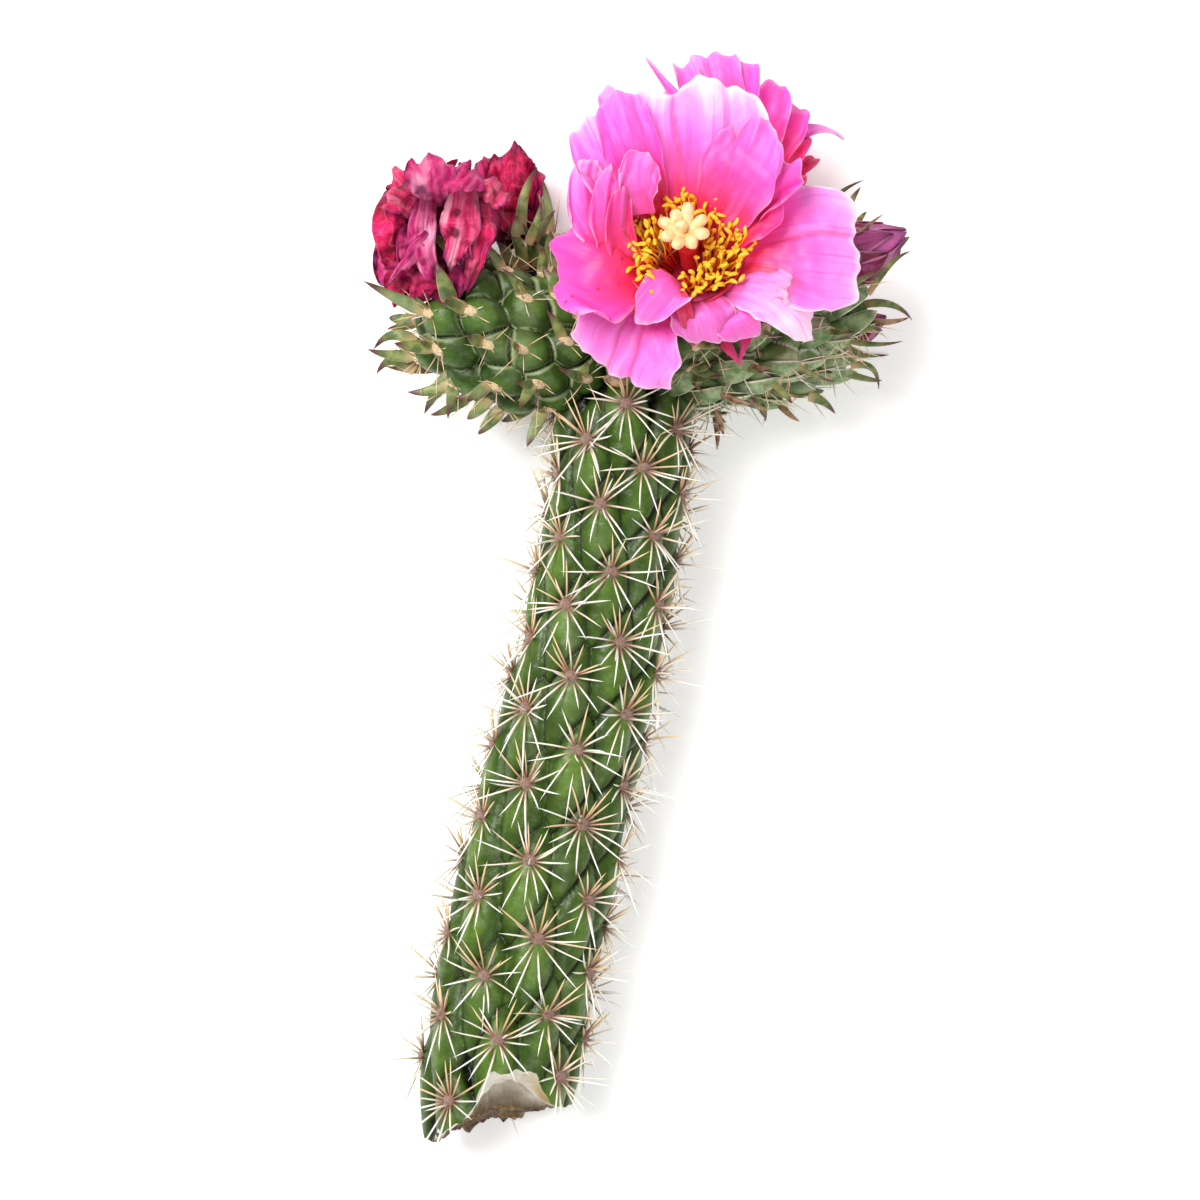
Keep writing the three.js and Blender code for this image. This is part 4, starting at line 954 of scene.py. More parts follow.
def rolled(form, across, share):
    """How far out and how high each point of a petal lies, as shares of its half width. Each side bends by
    the bowl's degrees and rolls further towards its edge."""
    roll = np.where(across > 0, form["right"], form["left"])
    bend = np.radians(form["bowl"] * np.abs(across) + roll * smooth(0.15, 0.8, share) * np.abs(across) ** 4)
    columns = bend.shape[1]
    step, middle = 2 / (columns - 1), columns // 2
    out, rise = np.zeros(bend.shape), np.zeros(bend.shape)
    for way in (slice(middle, None), slice(middle, None, -1)):
        halfway = (bend[:, way][:, 1:] + bend[:, way][:, :-1]) / 2
        out[:, way][:, 1:] = np.cumsum(np.cos(halfway), 1) * step
        rise[:, way][:, 1:] = np.cumsum(np.sin(halfway), 1) * step
    return out * np.sign(across), rise


def waved(form, across, share, size, frill):
    """The height of a petal's broad waves and of the frills of its tip and its sides."""
    phase = form["phase"]
    wave = form["ruffle"] * np.sin(math.pi * across * form["waves"] / 2 + phase) * smooth(0.1, 1, share)
    wave = wave + frill * 0.45 * share ** 4 * np.sin(across * 10 * size ** 0.5 + 2 * phase)
    wave = wave + frill * 0.14 * share ** 4 * np.sin(across * 24 * size ** 0.5 + phase)
    edge = smooth(0.6, 1, np.abs(across)) * smooth(0.1, 0.6, share)
    wave = wave + frill * 0.4 * edge * np.sin(share * 16 + 3 * phase + 4 * np.sign(across))
    return wave * size ** 0.5


def crumpled(points, face, amount, creased, seed):
    """The points of a sheet bent all over, with sharp ridges too where it is creased."""
    way = np.stack([lumps(points, 8, seed + k) for k in range(3)], -1)
    relief = 0.9 * lumps(points, 5, seed + 3) + (0.5 + 0.3 * creased) * lumps(points, 2.4, seed + 4)
    relief = relief + creased * (0.9 - 2.2 * np.abs(lumps(points, 8, seed + 5)))
    return points + (0.7 * way + face * relief[..., None]) * amount[..., None]


def sheet(shape, form, foot, throat, facing=(0, 0, 1), reach=36.0, frill=1.0, crumple=0.0, creased=0.0, *,
          rows, columns, seed):
    """Adds a petal that runs from its root over its knee to its tip, with a ruffled rim. Its colour
    changes over reach from the throat."""
    root, knee, tip = (foot + vec(*form[place]) for place in ("root", "knee", "tip"))
    narrow, wide, phase, point = (form[word] for word in ("narrow", "wide", "phase", "point"))
    share, across = np.linspace(0, 1, rows)[:, None], np.linspace(-1, 1, columns)[None, :]
    size = wide / 20
    frill = frill * form["frill"] * (1 - 0.7 * point)

    control = 2 * knee - (root + tip) / 2
    along = trimmed(form, across, share, size, frill)[..., None]
    centre = curve(root, control, tip, along)
    run = unit(2 * (1 - along) * (control - root) + 2 * along * (tip - control))
    side = unit(np.cross(tip - root, vec(*(form["facing"] or facing))))
    side = unit(side - run * dot(run, side)[..., None])
    face = np.cross(side, run)
    half = mix(narrow, wide, smooth(0, 0.78, share)) / 2 * (1 - point * smooth(0.3, 1.0, share) ** 1.3)
    half = half * (1 + 0.03 * frill * np.sin(15 * share + 3 * phase))

    out, rise = rolled(form, across, share)
    lift = rise * half + waved(form, across, share, size, frill)
    red = form["red"] * np.ones(lift.shape)
    # Each fold is a groove with red along it; in the wilted flowers that red is painted shade.
    for fold in form["folds"]:
        groove = np.exp(-((across - fold - 0.05 * np.sin(5 * share)) / 0.045) ** 2) * smooth(0.25, 0.6, share)
        lift = lift - 0.55 * groove
        red = np.maximum(red, 0.55 * groove)
    points = centre + side * (out * half)[..., None] + face * lift[..., None]
    if crumple:
        points = crumpled(points, face, crumple * smooth(0, 0.3, share), creased, seed)
    far = np.linalg.norm(points - throat, axis=-1) / reach + form["light"]
    marks = stacked(share, across, scatter(phase * 7 + wide), far, form["pale"], red)
    shape.blade(points, marks, PETAL_THICKNESS)


BLOOM_FOOT, BLOOM_LEAN = vec(9.1, 67.2, 48.4), math.radians(20)
bloom = Flower(BLOOM_FOOT, (-0.09, math.sin(BLOOM_LEAN), math.cos(BLOOM_LEAN)), (0, 1, 0))
BLOOM_PETALS = [
    # The wide pale petal at the top, and the one before it to the right
    petal((-0.5, 4.5, 1.5), (1, 19, 8.5), (1, 35, 10), 9, 28.5, bowl=12, left=20, right=15, ruffle=1.1,
          waves=2.6, phase=0.4, blunt=0.14, folds=(-0.3, 0.42), pale=0.86),
    petal((3, 5, 3.5), (8.5, 15.5, 11.5), (13, 27.5, 12.5), 8, 16.5, bowl=10, left=5, right=30, ruffle=0.7,
          waves=2.2, frill=1.3, phase=0.9, blunt=0.26, pale=0.22),
    petal((6, 7, 4.5), (14, 14, 10), (20, 19.5, 9.5), 5, 10.5, left=60, right=60, ruffle=1.3, waves=4,
          frill=2, phase=0.2, blunt=0.3, pale=0.25),
    petal((4, 3, 2.5), (11, 9.5, 8.5), (17.5, 12, 9.5), 7, 13, right=20, ruffle=1.1, frill=1.4, phase=2.5,
          blunt=0.25, pale=0.1, red=0.1),
    # Right, lower right and the ruffled ones below the throat
    petal((4.5, 0.5, 0.5), (18, 2.5, 6.5), (33, 1.5, 3.5), 9, 26, bowl=7, left=12, right=10, ruffle=1.2,
          waves=1.7, phase=2.8, blunt=0.15, folds=(-0.22,), pale=0.88),
    petal((4.5, -4.5, 2.5), (16, -6, 10), (23, -14.5, 5.5), 8, 12.5, bowl=-24, left=-10, right=-15,
          ruffle=0.6, waves=2, phase=0.5, blunt=0.35, pale=0.95, light=0.3),
    petal((5, -5.5, 1.5), (9.5, -9.5, 7), (12.5, -13.5, 3), 8, 13, bowl=-12, left=30, right=10, ruffle=1.1,
          waves=3, phase=1.1, blunt=0.22, pale=0.55, light=0.25),
    petal((0.5, -5.5, 2.5), (2, -10, 9), (3, -15.5, 4.5), 8, 13, bowl=-12, left=10, right=50, ruffle=0.9,
          waves=2.5, phase=2.2, blunt=0.28, pale=0.65, light=0.3),
    petal((-4, -4.5, 8.5), (-2, -8.5, 11), (-1, -13.5, 5.5), 3, 4, right=60, ruffle=0.5, phase=0.3, blunt=0.3,
          point=0.2, red=0.3),
    petal((-1.5, -6, 3.5), (-4.5, -4.5, 11.5), (-10.5, -11.5, 9), 6, 11, bowl=-14, left=60, right=-20,
          ruffle=0.8, phase=0.9, blunt=0.3, pale=0.55, light=0.3),
    # Lower left with its two creases, and the wide left petal
    petal((-6, -5.5, 0), (-11.5, -13.5, 3.5), (-15, -22, 0), 9, 23, bowl=-6, left=10, right=10, ruffle=0.9,
          waves=2.4, phase=3.6, blunt=0.14, folds=(-0.2, 0.24), pale=0.45, light=0.2),
    petal((-7, 0, 1.5), (-16, 2, 8), (-25.2, 4.6, 4.5), 10, 30, left=14, right=60, ruffle=1.2, waves=3.4,
          frill=1.5, phase=1.5, blunt=0.33, pale=0.0, light=-0.03),
    # Upper left
    petal((-8, 7, 3.5), (-15.5, 17.5, 8.5), (-20.5, 28, 7.5), 5, 13, left=40, right=40, phase=0.4, blunt=0.28,
          pale=0.5),
    petal((-6.5, 8, 4.5), (-11.5, 21.5, 11.5), (-15, 33, 10.5), 6, 12.5, right=95, ruffle=1.2, phase=1.2,
          blunt=0.26, pale=0.15),
    petal((-10, 14, 3.5), (-14, 25, 7.5), (-17, 34.5, 6.5), 3, 5.5, phase=0.1, blunt=0.3, pale=0.4),
    # The folds inside it: a bright flap, a crimson fold and pleats
    petal((-9.5, 9.5, 9), (-10.5, 16, 13), (-9, 21, 14), 4.5, 8, left=50, right=10, ruffle=1.2, waves=3,
          frill=2, phase=0.3, blunt=0.3, pale=0.6, light=0.1),
    petal((-9, -3, 2), (-14, 4, 9), (-13.5, 14.5, 12.5), 4.5, 6, left=40, right=50, ruffle=1.3, waves=4,
          frill=2.2, phase=0.8, blunt=0.3, pale=0.3, red=0.12),
    petal((-10, -1, 2), (-16.5, 6, 9.5), (-15.5, 18.5, 12), 4.5, 6.5, left=40, right=40, ruffle=1.5, waves=4,
          frill=2, phase=2.1, blunt=0.3, pale=0.5),
    petal((-10, 0, 2), (-19.5, 9, 8.5), (-19.5, 20, 10), 5, 9.5, left=60, right=20, ruffle=1.4, waves=4,
          frill=1.8, phase=3.1, blunt=0.3, pale=0.6),
]
CRIMSON_TEPALS = [
    petal((4, -11, -0.5), (6.5, -15.5, 0.5), (10, -20, -1.5), 3, 4, bowl=-20, ruffle=0.3, waves=2, point=0.8,
          pale=0.1, red=0.7),
    petal((11, -10.5, -0.5), (10.5, -15, 0.5), (9.5, -19, -2), 2.5, 3.5, bowl=20, ruffle=0.3, waves=2,
          phase=1.0, point=0.8, pale=0.1, red=0.6),
    petal((-0.5, -11, -1.5), (-0.5, -13.5, -0.5), (0.5, -16, -2), 2.5, 3, bowl=20, ruffle=0.3, waves=2,
          phase=1.0, point=0.6, pale=0.3, red=0.5),
]


def cup_of(shape, flower, radius, deep):
    """The short bowl that a flower's petals stand on, and the funnel inside it."""
    outside = [(0, -3), (0.7, -2.4), (0.95, -0.6), (1.08, 1.4), (1.2, 3.6)]
    inside = [(1.24, 4.6), (1.16, 4.4), (1.0, 2.2), (0.8, 0.4), (0, 0.4 - deep)]
    profile = np.array(outside + inside, float)
    points = flower.place(turns(40)[None, :], profile[:, :1] * radius, profile[:, 1:])
    marks = np.zeros((*points.shape[:-1], MARKS))
    marks[..., RED] = 1
    shape.grid(points, marks)


def build_bloom():
    throat = bloom.place(0.0, 0.0, 1.0)
    petals = Shape()
    cup_of(petals, bloom, radius=8.6, deep=2.5)
    for k, form in enumerate(BLOOM_PETALS):
        sheet(petals, form, BLOOM_FOOT, throat, bloom.out, crumple=0.28, rows=43, columns=45, seed=40 + 7 * k)
    petals.place("centre_petals", PETAL_PINK, "petal_pink", "centre_bloom_petals")
    tepals = Shape()
    for k, form in enumerate(CRIMSON_TEPALS):
        sheet(tepals, form, BLOOM_FOOT, throat, frill=0.5, rows=30, columns=21, seed=k)
    tepals.place("centre_tepals", PETAL_PINK, "petal_pink", "centre_bloom_petals")


# The tones that a stalk and an anther are marked with
STALK, POLLEN = 0.2, 0.9


def build_stamens(count=290):
    """A ring of wavy stalks, upright inside and spread outside, but none where a folded petal comes over."""
    k = np.arange(count)
    turn = np.radians(GOLDEN_TURN * k) + 0.12 * spread(k + 50)
    share = np.sqrt((k + 0.5) / count)
    reach = mix(3.2, 13.0, share) * mix(0.85, 1.1, scatter(k + 11))
    reach = reach * (1 - 0.1 * np.clip(-np.sin(turn), 0, 1))
    clear = np.abs(np.cos(turn) * reach + 2.4) + np.abs(np.sin(turn) * reach + 5.0) >= 4.8
    k, turn, share, reach = k[clear], turn[clear], share[clear], reach[clear]
    height = mix(12.0, 7.4, share) + 1.5 * spread(k)
    root = bloom.place(turn, mix(2.4, 6.2, share), 0.6)
    belly = bloom.place(turn + 0.1 * spread(k + 9), mix(3.2, 9.2, share), height * 0.62)
    tip = bloom.place(turn + 0.16 * spread(k + 19), reach, height) + vec(0, 1.8, 0)
    s = np.linspace(0, 1, 8)[None, :, None]
    wiggle = stacked(spread(k + 31), spread(k + 37), spread(k + 41))
    paths = curve(root[:, None], belly[:, None], tip[:, None], s)
    paths = paths + wiggle[:, None] * 0.75 * np.sin(math.pi * s * 1.9)
    stamens = Shape()
    stamens.tubes(paths, mix(0.27, 0.19, s[..., 0]), 5, STALK)

    # Anthers are bent yellow pods that point every way
    heading = unit(0.6 * unit(paths[:, -1] - paths[:, -2]) + 1.2 * wiggle[:, ::-1])
    veer = unit(np.cross(heading, vec(0.3, 0.2, 1))) * spread(k + 71)[:, None]
    s = np.linspace(-0.25, 1, 7)[None, :, None]
    length = mix(1.1, 2.0, scatter(k + 67))[:, None, None]
    pods = paths[:, -1:] + heading[:, None] * s * length + veer[:, None] * s ** 2 * length * 0.6
    swell = np.sqrt(np.clip(1 - np.linspace(-1, 1, 7)[None, :] ** 2, 0.02, 1))
    stamens.tubes(pods, swell * mix(0.38, 0.5, scatter(k + 61))[:, None], 7, POLLEN)
    stamens.place("centre_stamens", STAMEN, "stamen_yellow", "centre_bloom_stamens")


# Radius and height of the style's outline, and turn, lean and length of each plump lobe of the stigma
STYLE_OUTLINE = [(0, 0.6), (2.1, 0.8), (1.9, 4), (2, 8), (2.4, 12), (2.5, 13.6), (2.3, 14.6), (1.3, 15.2),
                 (0, 15.4)]
STIGMA_LOBES = [(82, 48, 5.8), (122, 50, 4.8), (160, 66, 5.4), (200, 62, 4.8), (246, 54, 4.6), (296, 54, 4.6),
                (346, 60, 4.8), (32, 62, 4.8), (140, 8, 3.6)]
STIGMA_FOOT = 15.6
LOBE_RADIUS = 1.32


def build_style():
    outline = np.array(STYLE_OUTLINE, float)
    stations = np.linspace(0, len(outline) - 1, 40)[:, None]
    radii, heights = (np.interp(stations, np.arange(len(outline)), outline[:, k]) for k in range(2))
    turn = turns(28)[None, :]
    points = bloom.place(turn, radii * (1 + 0.04 * np.sin(6 * turn)), heights)
    style = Shape()
    style.grid(points, np.zeros(points.shape))
    style.place("centre_style", STYLE_RED, "style_red", "centre_bloom_style")


def build_stigma():
    tall, around = np.linspace(0, math.pi, 20)[:, None], turns(20)[None, :]
    along = (1 - np.cos(tall)) / 2
    lobes = Shape()
    for k, (turned, leant, length) in enumerate(STIGMA_LOBES):
        turn, lean = math.radians(turned), math.radians(leant)
        axis = bloom.place(turn, math.sin(lean), math.cos(lean)) - bloom.origin
        side = bloom.place(turn + math.pi / 2, 1.0, 0.0) - bloom.origin
        over = np.cross(axis, side)
        wide = LOBE_RADIUS * np.sin(tall) ** 0.7 * mix(0.75, 1.1, along) * (1 + 0.05 * np.cos(4 * around + k))
        root = bloom.place(turn, 0.6, STIGMA_FOOT)
        points = root + axis * mix(-0.6, length, along)[..., None]
        points = points + side * (np.cos(around) * wide)[..., None]
        points = points + over * (np.sin(around) * wide)[..., None]
        lobes.grid(points, stacked(along, 0 * around, 0.1 * k))
    lobes.place("centre_stigma", STIGMA_CREAM, "stigma_cream", "centre_bloom_stigma")


# Wilted flowers: creased petals that hang from and stand round a crumpled core

WILTED_FRONT = [
    # Petals that hang down over the front
    petal((0, 17.5, 16), (-0.6, 10, 18), (0.8, 2.5, 14.5), 5, 7.5, bowl=-50, left=-40, right=-30, ruffle=0.7,
          phase=0.2, point=0.2, pale=0.95),
    petal((2, 13, 16), (-3, 6, 17.5), (-8, 1, 13), 2.5, 4, bowl=-40, left=-30, right=-30, ruffle=0.5,
          phase=0.8, point=0.85, pale=0.8),
    petal((7.4, 20, 15), (6.8, 11.5, 18.5), (5, 4.5, 15), 6.5, 10.2, bowl=-30, left=-30, right=40, ruffle=1.2,
          phase=1.4, point=0.5, folds=(0.1,), pale=0.65),
    petal((10, 18.5, 12), (10.5, 10, 15), (8, 0.5, 11), 5, 8, bowl=-36, left=-30, right=30, ruffle=1.1,
          phase=0.3, point=0.55, folds=(-0.2,), pale=0.3),
    petal((-6, 19.5, 11), (-7.5, 12, 13), (-6, 4.5, 10), 5.5, 8, bowl=-40, left=30, right=-30, waves=4,
          phase=2.3, point=0.3, pale=0),
    petal((8.5, 14.5, 13), (7, 9, 16), (9.5, 3.5, 12), 4, 5.5, bowl=40, left=60, right=60, waves=4, phase=0.9,
          point=0.5, pale=0.6),
    petal((-3, 12.5, 14), (-4.5, 8, 15), (-3.5, 3.5, 11), 3, 4.5, bowl=40, left=60, right=60, waves=4,
          phase=0.9, point=0.5, pale=0.4),
    # Petals that stand and curl at the top
    petal((-0.5, 15, 13), (-5, 18.5, 16), (-8, 19, 12), 5, 8, bowl=-25, left=60, right=-20, waves=3,
          phase=1.3, pale=0.2),
    petal((2, 16.5, 14), (1, 21.5, 16.5), (1, 26, 13), 6, 10, bowl=-20, left=60, right=60, ruffle=1.4,
          phase=0.3, pale=0.6),
    petal((-1.5, 16.5, 11), (-3, 21, 13), (-5, 24, 9), 4, 7, bowl=-20, left=40, right=40, phase=2.3,
          pale=0.65),
    petal((5, 17.5, 13), (6, 21.5, 15), (7.5, 24.5, 11), 6, 11, bowl=-20, left=40, right=60, ruffle=1.4,
          phase=1.1, pale=0.25),
    petal((8.5, 16, 10), (11.5, 19.5, 12), (12.5, 21.5, 8), 5, 8.5, bowl=-20, left=40, right=60, phase=0.3,
          pale=0.3),
    # Petals crumpled against the fruit
    petal((0, 6, 11), (0, 2, 13), (-1.5, -2, 8), 8, 11, bowl=-30, ruffle=1.5, waves=4, phase=0.7, pale=0.05,
          red=0.2),
    petal((6, 6.5, 11), (7, 2.5, 11.5), (6, -1, 8), 5, 7, bowl=-30, waves=4, phase=1.7, point=0.4, pale=0.3),
    petal((-4.5, 5.5, 9), (-6, 1.5, 9), (-6.5, -2, 5), 4, 6, bowl=-30, waves=4, phase=1.7, point=0.3,
          pale=0.1),
]
WILTED_FRONT_AWAY = [
    # Petals round the sides of it that face away from the viewer, hanging and then wrapping its end
    petal((-4, 12, 0.5), (-8, 8, -1), (-7.5, 1, -2), 4.5, 7.5, bowl=-34, waves=4, phase=0.4, point=0.3,
          pale=0.5),
    petal((-2, 12, 0.5), (-4, 8, -5), (-4, 1, -6), 4.5, 7.5, bowl=-34, waves=4, phase=1.3, point=0.3,
          pale=0.1),
    petal((1, 12, 0.5), (2, 8, -6), (2, 1, -7), 4.5, 7.5, bowl=-34, waves=4, phase=2.2, point=0.3, pale=0.4),
    petal((3.5, 12, 0.5), (7, 8, -5), (6.5, 1, -6), 4.5, 7.5, bowl=-34, waves=4, phase=3.1, point=0.3,
          pale=0.0),
    petal((4.5, 12, 0.5), (8.5, 8, -1), (8, 1, -2), 4.5, 7.5, bowl=-34, waves=4, phase=4.0, point=0.3,
          pale=0.3),
    petal((-3.5, 19, 8), (-5, 23, 2), (-4.5, 20.5, -4), 5, 8, bowl=-30, left=40, waves=4, phase=0.7,
          pale=0.3),
    petal((4.5, 19.5, 8), (6, 23, 2), (6, 20, -4), 5, 8.5, bowl=-30, right=40, waves=4, phase=1.9, pale=0.1),
    petal((0.5, 20, 9), (0.5, 24.5, 2), (0.5, 21.5, -6), 5.5, 8, bowl=-30, left=40, waves=3, phase=2.7,
          pale=0.6),
    # Petals along its two sides
    petal((-2.5, 18, 5), (-6, 9, 4), (-4.5, -1, 2), 6, 9.5, bowl=-30, facing=(-1, 0, -0.3), waves=4,
          phase=0.5, pale=0.3),
    petal((-1.5, 17, -2), (-4.5, 8, -2.5), (-3.5, -1, -3), 5, 8.5, bowl=-30, facing=(-0.8, 0, -0.6), waves=4,
          phase=1.6, pale=0.1),
    petal((6.5, 18, 4), (10, 9, 3), (8.5, -1, 1), 6, 9.5, bowl=-30, facing=(1, 0, -0.3), waves=4, phase=2.5,
          pale=0.2),
]
WILTED_BACK = [
    petal((-0.5, 1, 3), (0, 10.5, 8.5), (0.5, 19, 5), 6, 10.5, bowl=-26, left=40, right=60, ruffle=1.4,
          phase=0.3, blunt=0.3, folds=(0.15,), pale=0, red=0.2),
    petal((0.5, 1, 3), (2.5, 9.5, 6.5), (3, 16.5, 3), 4, 8, bowl=-30, right=60, phase=1.3, pale=0, red=0.3),
    petal((-2, 2, 4), (-3.5, 10.5, 8), (-5.5, 16.5, 4), 5, 9, bowl=-30, left=60, ruffle=1.2, phase=2.3,
          folds=(-0.1,),
          pale=0, red=0.2),
    petal((-3, 1, 5), (-8, 8, 8), (-10, 15, 4), 4, 8, bowl=-30, left=60, phase=0.8, pale=0.1, red=0.15),
    petal((0.5, 0.5, 4), (-0.5, 5.5, 8.5), (0.5, 11.5, 7), 4, 8, bowl=-40, left=40, right=60, phase=1.8,
          point=0.3, pale=0.05, red=0.2),
    petal((2, 2, 1), (3.5, 6, 3), (2, 10.5, 1), 3, 5, bowl=-30, right=60, phase=1.8, pale=0.1),
    petal((-2, 0.5, 5), (-4.5, 5, 8.5), (-5, 9.5, 6), 4, 7, bowl=-40, left=60, phase=0.1, point=0.3,
          pale=0.3),
    # The side of it that faces away from the viewer
    petal((-3.5, 11, 4), (-5.5, 14, 0), (-5, 11.5, -4.5), 4, 6.5, bowl=-30, left=40, waves=4, phase=0.7,
          pale=0.3),
    petal((3, 11, 3), (4, 13, 0), (4, 10.5, -4.5), 4, 6.5, bowl=-30, right=40, waves=4, phase=1.9, pale=0.1),
    petal((-0.5, 12, 4), (-0.5, 15.5, 0), (-0.5, 12.5, -5.5), 4.5, 6.5, bowl=-30, waves=3, phase=2.7,
          pale=0.6),
    petal((-3, 11, 0), (-6, 5, 0), (-4.5, -1, 0), 4.5, 7, bowl=-30, facing=(-1, 0, -0.2), waves=4, phase=0.5,
          pale=0.2),
    petal((2, 11, 0), (5, 5, 0), (4, -1, 0), 4.5, 7, bowl=-30, facing=(1, 0, -0.2), waves=4, phase=1.5,
          pale=0.4),
]
# Where the wilted flowers stand, and the middle and the half sizes of their cores
FRONT_WILTED_FOOT, FRONT_WILTED_CORE = (-43.5, 62.5, 27), ((2, 11, 3), (6, 9.5, 6))
BACK_WILTED_FOOT, BACK_WILTED_CORE = (-27, 73.6, 8.8), ((-0.5, 6, -1), (4, 6, 4))


def build_wilted(name, node, foot, petals, core, seed):
    """A crumpled core with petals over it."""
    shape, foot = Shape(), vec(*foot)
    middle, half = core
    rounded = ball(30, 44)[..., [0, 2, 1]]
    points = foot + vec(*middle) + rounded * vec(*half)
    points = points + rounded * (1.2 * lumps(points, 6, seed) + 0.5 * lumps(points, 2.2, seed + 1))[..., None]
    marks = np.zeros((*points.shape[:-1], MARKS))
    # The core is marked low and red, which paints it dark: painted shade in the heart of the flower.
    marks[..., ALONG], marks[..., TONE], marks[..., RED] = 0.3, 0.3, 0.8
    shape.grid(points, marks)
    for k, form in enumerate(petals):
        sheet(shape, form, foot, foot, frill=1.2, crumple=0.62, creased=1.3,
              rows=29, columns=31, seed=seed + 11 * k)
    shape.place(name, WILTED_MAGENTA, "wilted_magenta", node)


# Buds: furled tepals wrapped round a pointed body

# Piece, node, foot, tip, radius and number of tepals
BUDS = [
    ("right_front_tepals", "right_front_bud", (38.7, 68.4, 25.6), (52.8, 74.8, 29.6), 6.8, 12),
    ("right_back_tepals", "right_back_bud", (42, 55.5, 7.4), (49.4, 58.5, 10.4), 3.6, 9),
]
TEPAL_THICKNESS = 0.35


def build_bud(name, node, foot, tip, radius, count):
    axis = vec(*tip) - vec(*foot)
    length = np.linalg.norm(axis)
    flower = Flower(foot, axis, (0, 0, 1))

    def body(turn, along, lift):
        along = np.clip(along, 0, 1)
        swell = smooth(-0.1, 0.4, along) * np.sqrt(np.clip(along * 9, 0, 1))
        pointed = 1 - np.clip((along - 0.38) / 0.62, 0, 1) ** 1.25
        reach = radius * swell * pointed * (1 + 0.06 * np.sin(5 * turn + 4 * along))
        return flower.place(turn, reach * 0.9 + lift, mix(-1.5, length * 0.98, along))

    shape = Shape()
    turn, along = turns(40)[None, :], np.linspace(0, 1, 30)[:, None]
    shape.grid(body(turn, along, 0.0), stacked(along, 0 * turn, 0.95))
    across, share = np.linspace(-1, 1, 17)[None, :], np.linspace(0, 1, 26)[:, None]
    for k in range(count):
        outer = k / (count - 1)
        width = mix(0.8, 0.62, outer) * (1 - share ** 2.2) ** 0.7 + 0.02
        middle = math.radians(GOLDEN_TURN * k) + 0.35 * share
        lift = 0.12 + 0.3 * outer + 0.4 * share ** 2 * np.abs(across) + 0.2 * smooth(0.7, 1, np.abs(across))
        points = body(middle + across * width, share * mix(1.0, 0.5, outer), lift * radius / 5)
        tone = 0.05 + 0.1 * scatter(k) if outer > 0.8 else mix(0.85, 0.35, outer) + 0.08 * spread(k)
        shape.blade(points, stacked(share, across, tone), TEPAL_THICKNESS)
    shape.place(name, BUD_PURPLE, "bud_purple", node)


# The second open flower faces away from the viewer, up past the end of its fruit

BACK_FOOT = vec(19.2, 77.6, 15.6)
back_bloom = Flower(BACK_FOOT, (0.2, 0.95, 0.3), (0, 0, -1))
BACK_PETALS = [
    petal((-5, 13.5, 10.5), (-12, 23, 13), (-19, 32, 11.5), 2.5, 4, left=60, right=60, ruffle=0.8, point=0.75,
          pale=0.45),
    petal((-3.5, 9.5, 8.5), (-7.5, 24, 18.5), (-10, 31.5, 16.5), 5, 10.5, left=100, right=40, phase=0.5,
          pale=0.4),
    petal((-2, 9, 8.5), (-3.5, 24.5, 19), (-5, 32, 17), 5, 9, left=30, right=60, ruffle=1.2, phase=1.5,
          pale=0.25),
    petal((-1, 9, 8.5), (0, 23.5, 18), (0, 31, 15.5), 5, 8.5, left=60, right=110, phase=2.5, pale=0.2),
    petal((1, 7, 6.5), (5, 19.5, 14.5), (4.5, 27, 11.5), 5, 10, left=40, right=60, ruffle=1.1, phase=0.3,
          pale=0.35),
    petal((2.5, 6, 4.5), (8.5, 17, 11.5), (9.5, 23.5, 8.5), 4, 9, left=40, right=60, ruffle=1.1, phase=1.3,
          pale=0.2),
    petal((4, 5, 4.5), (9.5, 12.5, 9.5), (11.5, 18, 6.5), 3, 7, right=60, phase=2.3, pale=0.1, red=0.15),
    petal((4.5, 7, 2.5), (12.5, 17.5, 7), (21, 16, 3.5), 3, 4.5, bowl=-10, right=40, ruffle=0.6, phase=2.3,
          point=0.8, pale=0.9, light=0.25),
    petal((5, 4.5, 1.5), (11, 9.5, 6), (16, 12.5, 3.5), 3, 4, left=60, right=60, ruffle=0.6, phase=0.3,
          point=0.3, pale=0, red=0.7),
    petal((6, 3.5, 0.5), (10.5, 7, 3.5), (13, 9, 1.5), 3, 4, ruffle=0.6, phase=0.3, point=0.2, pale=0.9),
    # The side of it that faces away from the viewer
    petal((4, 3, -2), (9, 9, -5.5), (10, 14, -8), 4, 8, left=40, right=20, phase=1.1, pale=0.4),
    petal((2.5, 3, -4), (6, 12, -9.5), (6.5, 21, -11.5), 5, 11, left=30, right=20, phase=2.1, pale=0.4,
          light=0.2),
    petal((0, 3, -4.5), (0.5, 14, -11), (0, 26.5, -12), 5, 13.5, left=20, right=20, phase=3.1, pale=0.6,
          light=0.2),
    petal((-2.5, 3, -4), (-6.5, 14, -9.5), (-8.5, 25.5, -10.5), 5, 13, left=20, right=30, phase=4.1, pale=0.4,
          light=0.2),
    petal((-4.5, 3, -2), (-9.5, 14, -4.5), (-13.5, 25, -4), 5, 12, left=20, right=40, phase=5.1, pale=0.6,
          light=0.2),
    petal((-4.5, 4, 1.5), (-10, 15, 3.5), (-14.5, 26, 4.5), 5, 11, left=30, right=30, phase=0.7, pale=0.4,
          light=0.15),
]


def build_back_petals():
    petals = Shape()
    cup_of(petals, back_bloom, radius=6, deep=1)
    for k, form in enumerate(BACK_PETALS):
        sheet(petals, form, BACK_FOOT, BACK_FOOT, reach=40, crumple=0.3,
              rows=34, columns=31, seed=300 + 9 * k)
    petals.place("back_petals", PETAL_PINK, "petal_pink", "back_bloom_petals")


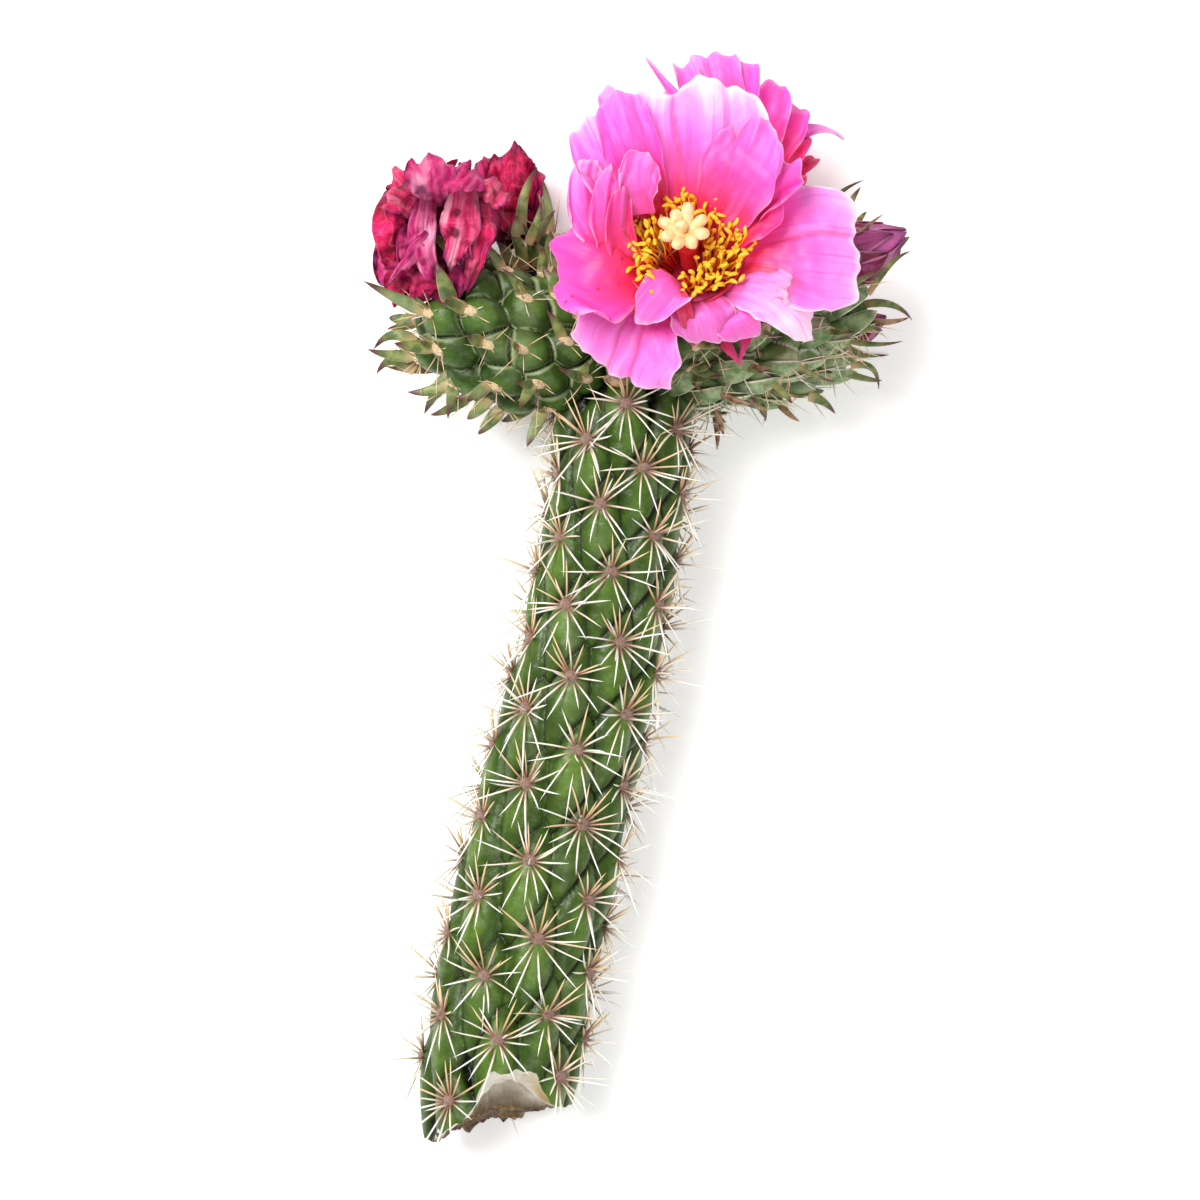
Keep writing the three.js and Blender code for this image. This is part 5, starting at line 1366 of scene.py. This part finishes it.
def build_back_stamens(count=110):
    """A tuft of stamens that fills the middle of the flower."""
    k = np.arange(count)
    turn, share = np.radians(GOLDEN_TURN * k), np.sqrt((k + 0.5) / count)
    root = back_bloom.place(turn, 3.6 * share, 0.5)
    tip = back_bloom.place(turn, 6.4 * share, mix(13, 9, share) + spread(k))
    s = np.linspace(0, 1, 6)[None, :, None]
    wiggle = stacked(spread(k + 3), spread(k + 5), spread(k + 7))[:, None]
    paths = mix(root[:, None], tip[:, None], s) + wiggle * 0.5 * np.sin(math.pi * s * 1.7)
    tuft = Shape()
    tuft.tubes(paths, [[0.22]], 4, STALK)
    pods = tip[:, None] + wiggle * np.linspace(-0.8, 0.8, 5)[None, :, None]
    swell = 0.45 * np.sqrt(np.clip(1 - np.linspace(-1, 1, 5) ** 2, 0.03, 1))
    tuft.tubes(pods, swell[None, :], 6, POLLEN)
    tuft.place("back_stamens", STAMEN, "stamen_yellow", "back_bloom_petals")


# Camera, surface and lights

CAMERA_PLACE, LENS, SENSOR = (-0.0075, 0.0002, 1.33), 195, 36
STAGE_REACH = 3.0
WORLD_STRENGTH = 0.36
AIM = (0, 0, 0.02)


def build_camera():
    data = bpy.data.cameras.new("view")
    data.sensor_width, data.lens = SENSOR, LENS
    camera = bpy.data.objects.new("view", data)
    camera.location = CAMERA_PLACE
    bpy.context.scene.collection.objects.link(camera)
    bpy.context.scene.camera = camera


def build_stage():
    look = Look("pale_surface", roughness=0.75, emission_color=(1, 1, 1, 1), emission_strength=0.3)
    base = look.blend(look.noise(60, 2), colour(0xf6f5f3), colour(0xfbfaf9))
    material = look.finish(base, None, [(look.noise(1.5, 3), 0.01)])
    mesh = bpy.data.meshes.new("surface")
    corners = [(x * STAGE_REACH, y * STAGE_REACH, 0) for x, y in ((-1, -1), (1, -1), (1, 1), (-1, 1))]
    mesh.from_pydata(corners, [], [(0, 1, 2, 3)])
    mesh.materials.append(material)
    surface = bpy.data.objects.new("surface", mesh)
    bpy.context.scene.collection.objects.link(surface)


def light(name, place, size, power, tint):
    """A round soft light aimed at the part."""
    data = bpy.data.lights.new(name, "AREA")
    data.shape, data.size, data.energy, data.color = "DISK", size, power, tint
    lamp = bpy.data.objects.new(name, data)
    lamp.location = place
    lamp.rotation_euler = (Vector(AIM) - Vector(place)).to_track_quat("-Z", "Y").to_euler()
    bpy.context.scene.collection.objects.link(lamp)


def build_lights():
    world = bpy.data.worlds.new("studio")
    world.use_nodes = True
    background = world.node_tree.nodes["Background"]
    background.inputs["Color"].default_value = (1, 1, 1, 1)
    background.inputs["Strength"].default_value = WORLD_STRENGTH
    bpy.context.scene.world = world
    bpy.context.scene.view_settings.view_transform = "Standard"
    light("key", (-1.3, 1.15, 2.85), 1.9, 138.0, (1, 0.99, 0.97))
    light("fill", (0.6, -1.2, 1.6), 1.4, 14.0, (0.98, 0.98, 1))


build_camera()
build_stage()
build_lights()
build_cut_face(build_stem_skin())
build_stem_spines()
build_stem_areoles()
for fruit in FRUITS:
    build_fruit(fruit)
build_fruit_dress()
build_bloom()
build_stamens()
build_style()
build_stigma()
build_wilted("left_front_wilted", "left_front_wilted_bloom", FRONT_WILTED_FOOT,
             WILTED_FRONT + WILTED_FRONT_AWAY, FRONT_WILTED_CORE, seed=500)
build_wilted("left_back_wilted", "left_back_wilted_bloom", BACK_WILTED_FOOT, WILTED_BACK, BACK_WILTED_CORE,
             seed=700)
for row in BUDS:
    build_bud(*row)
build_back_petals()
build_back_stamens()
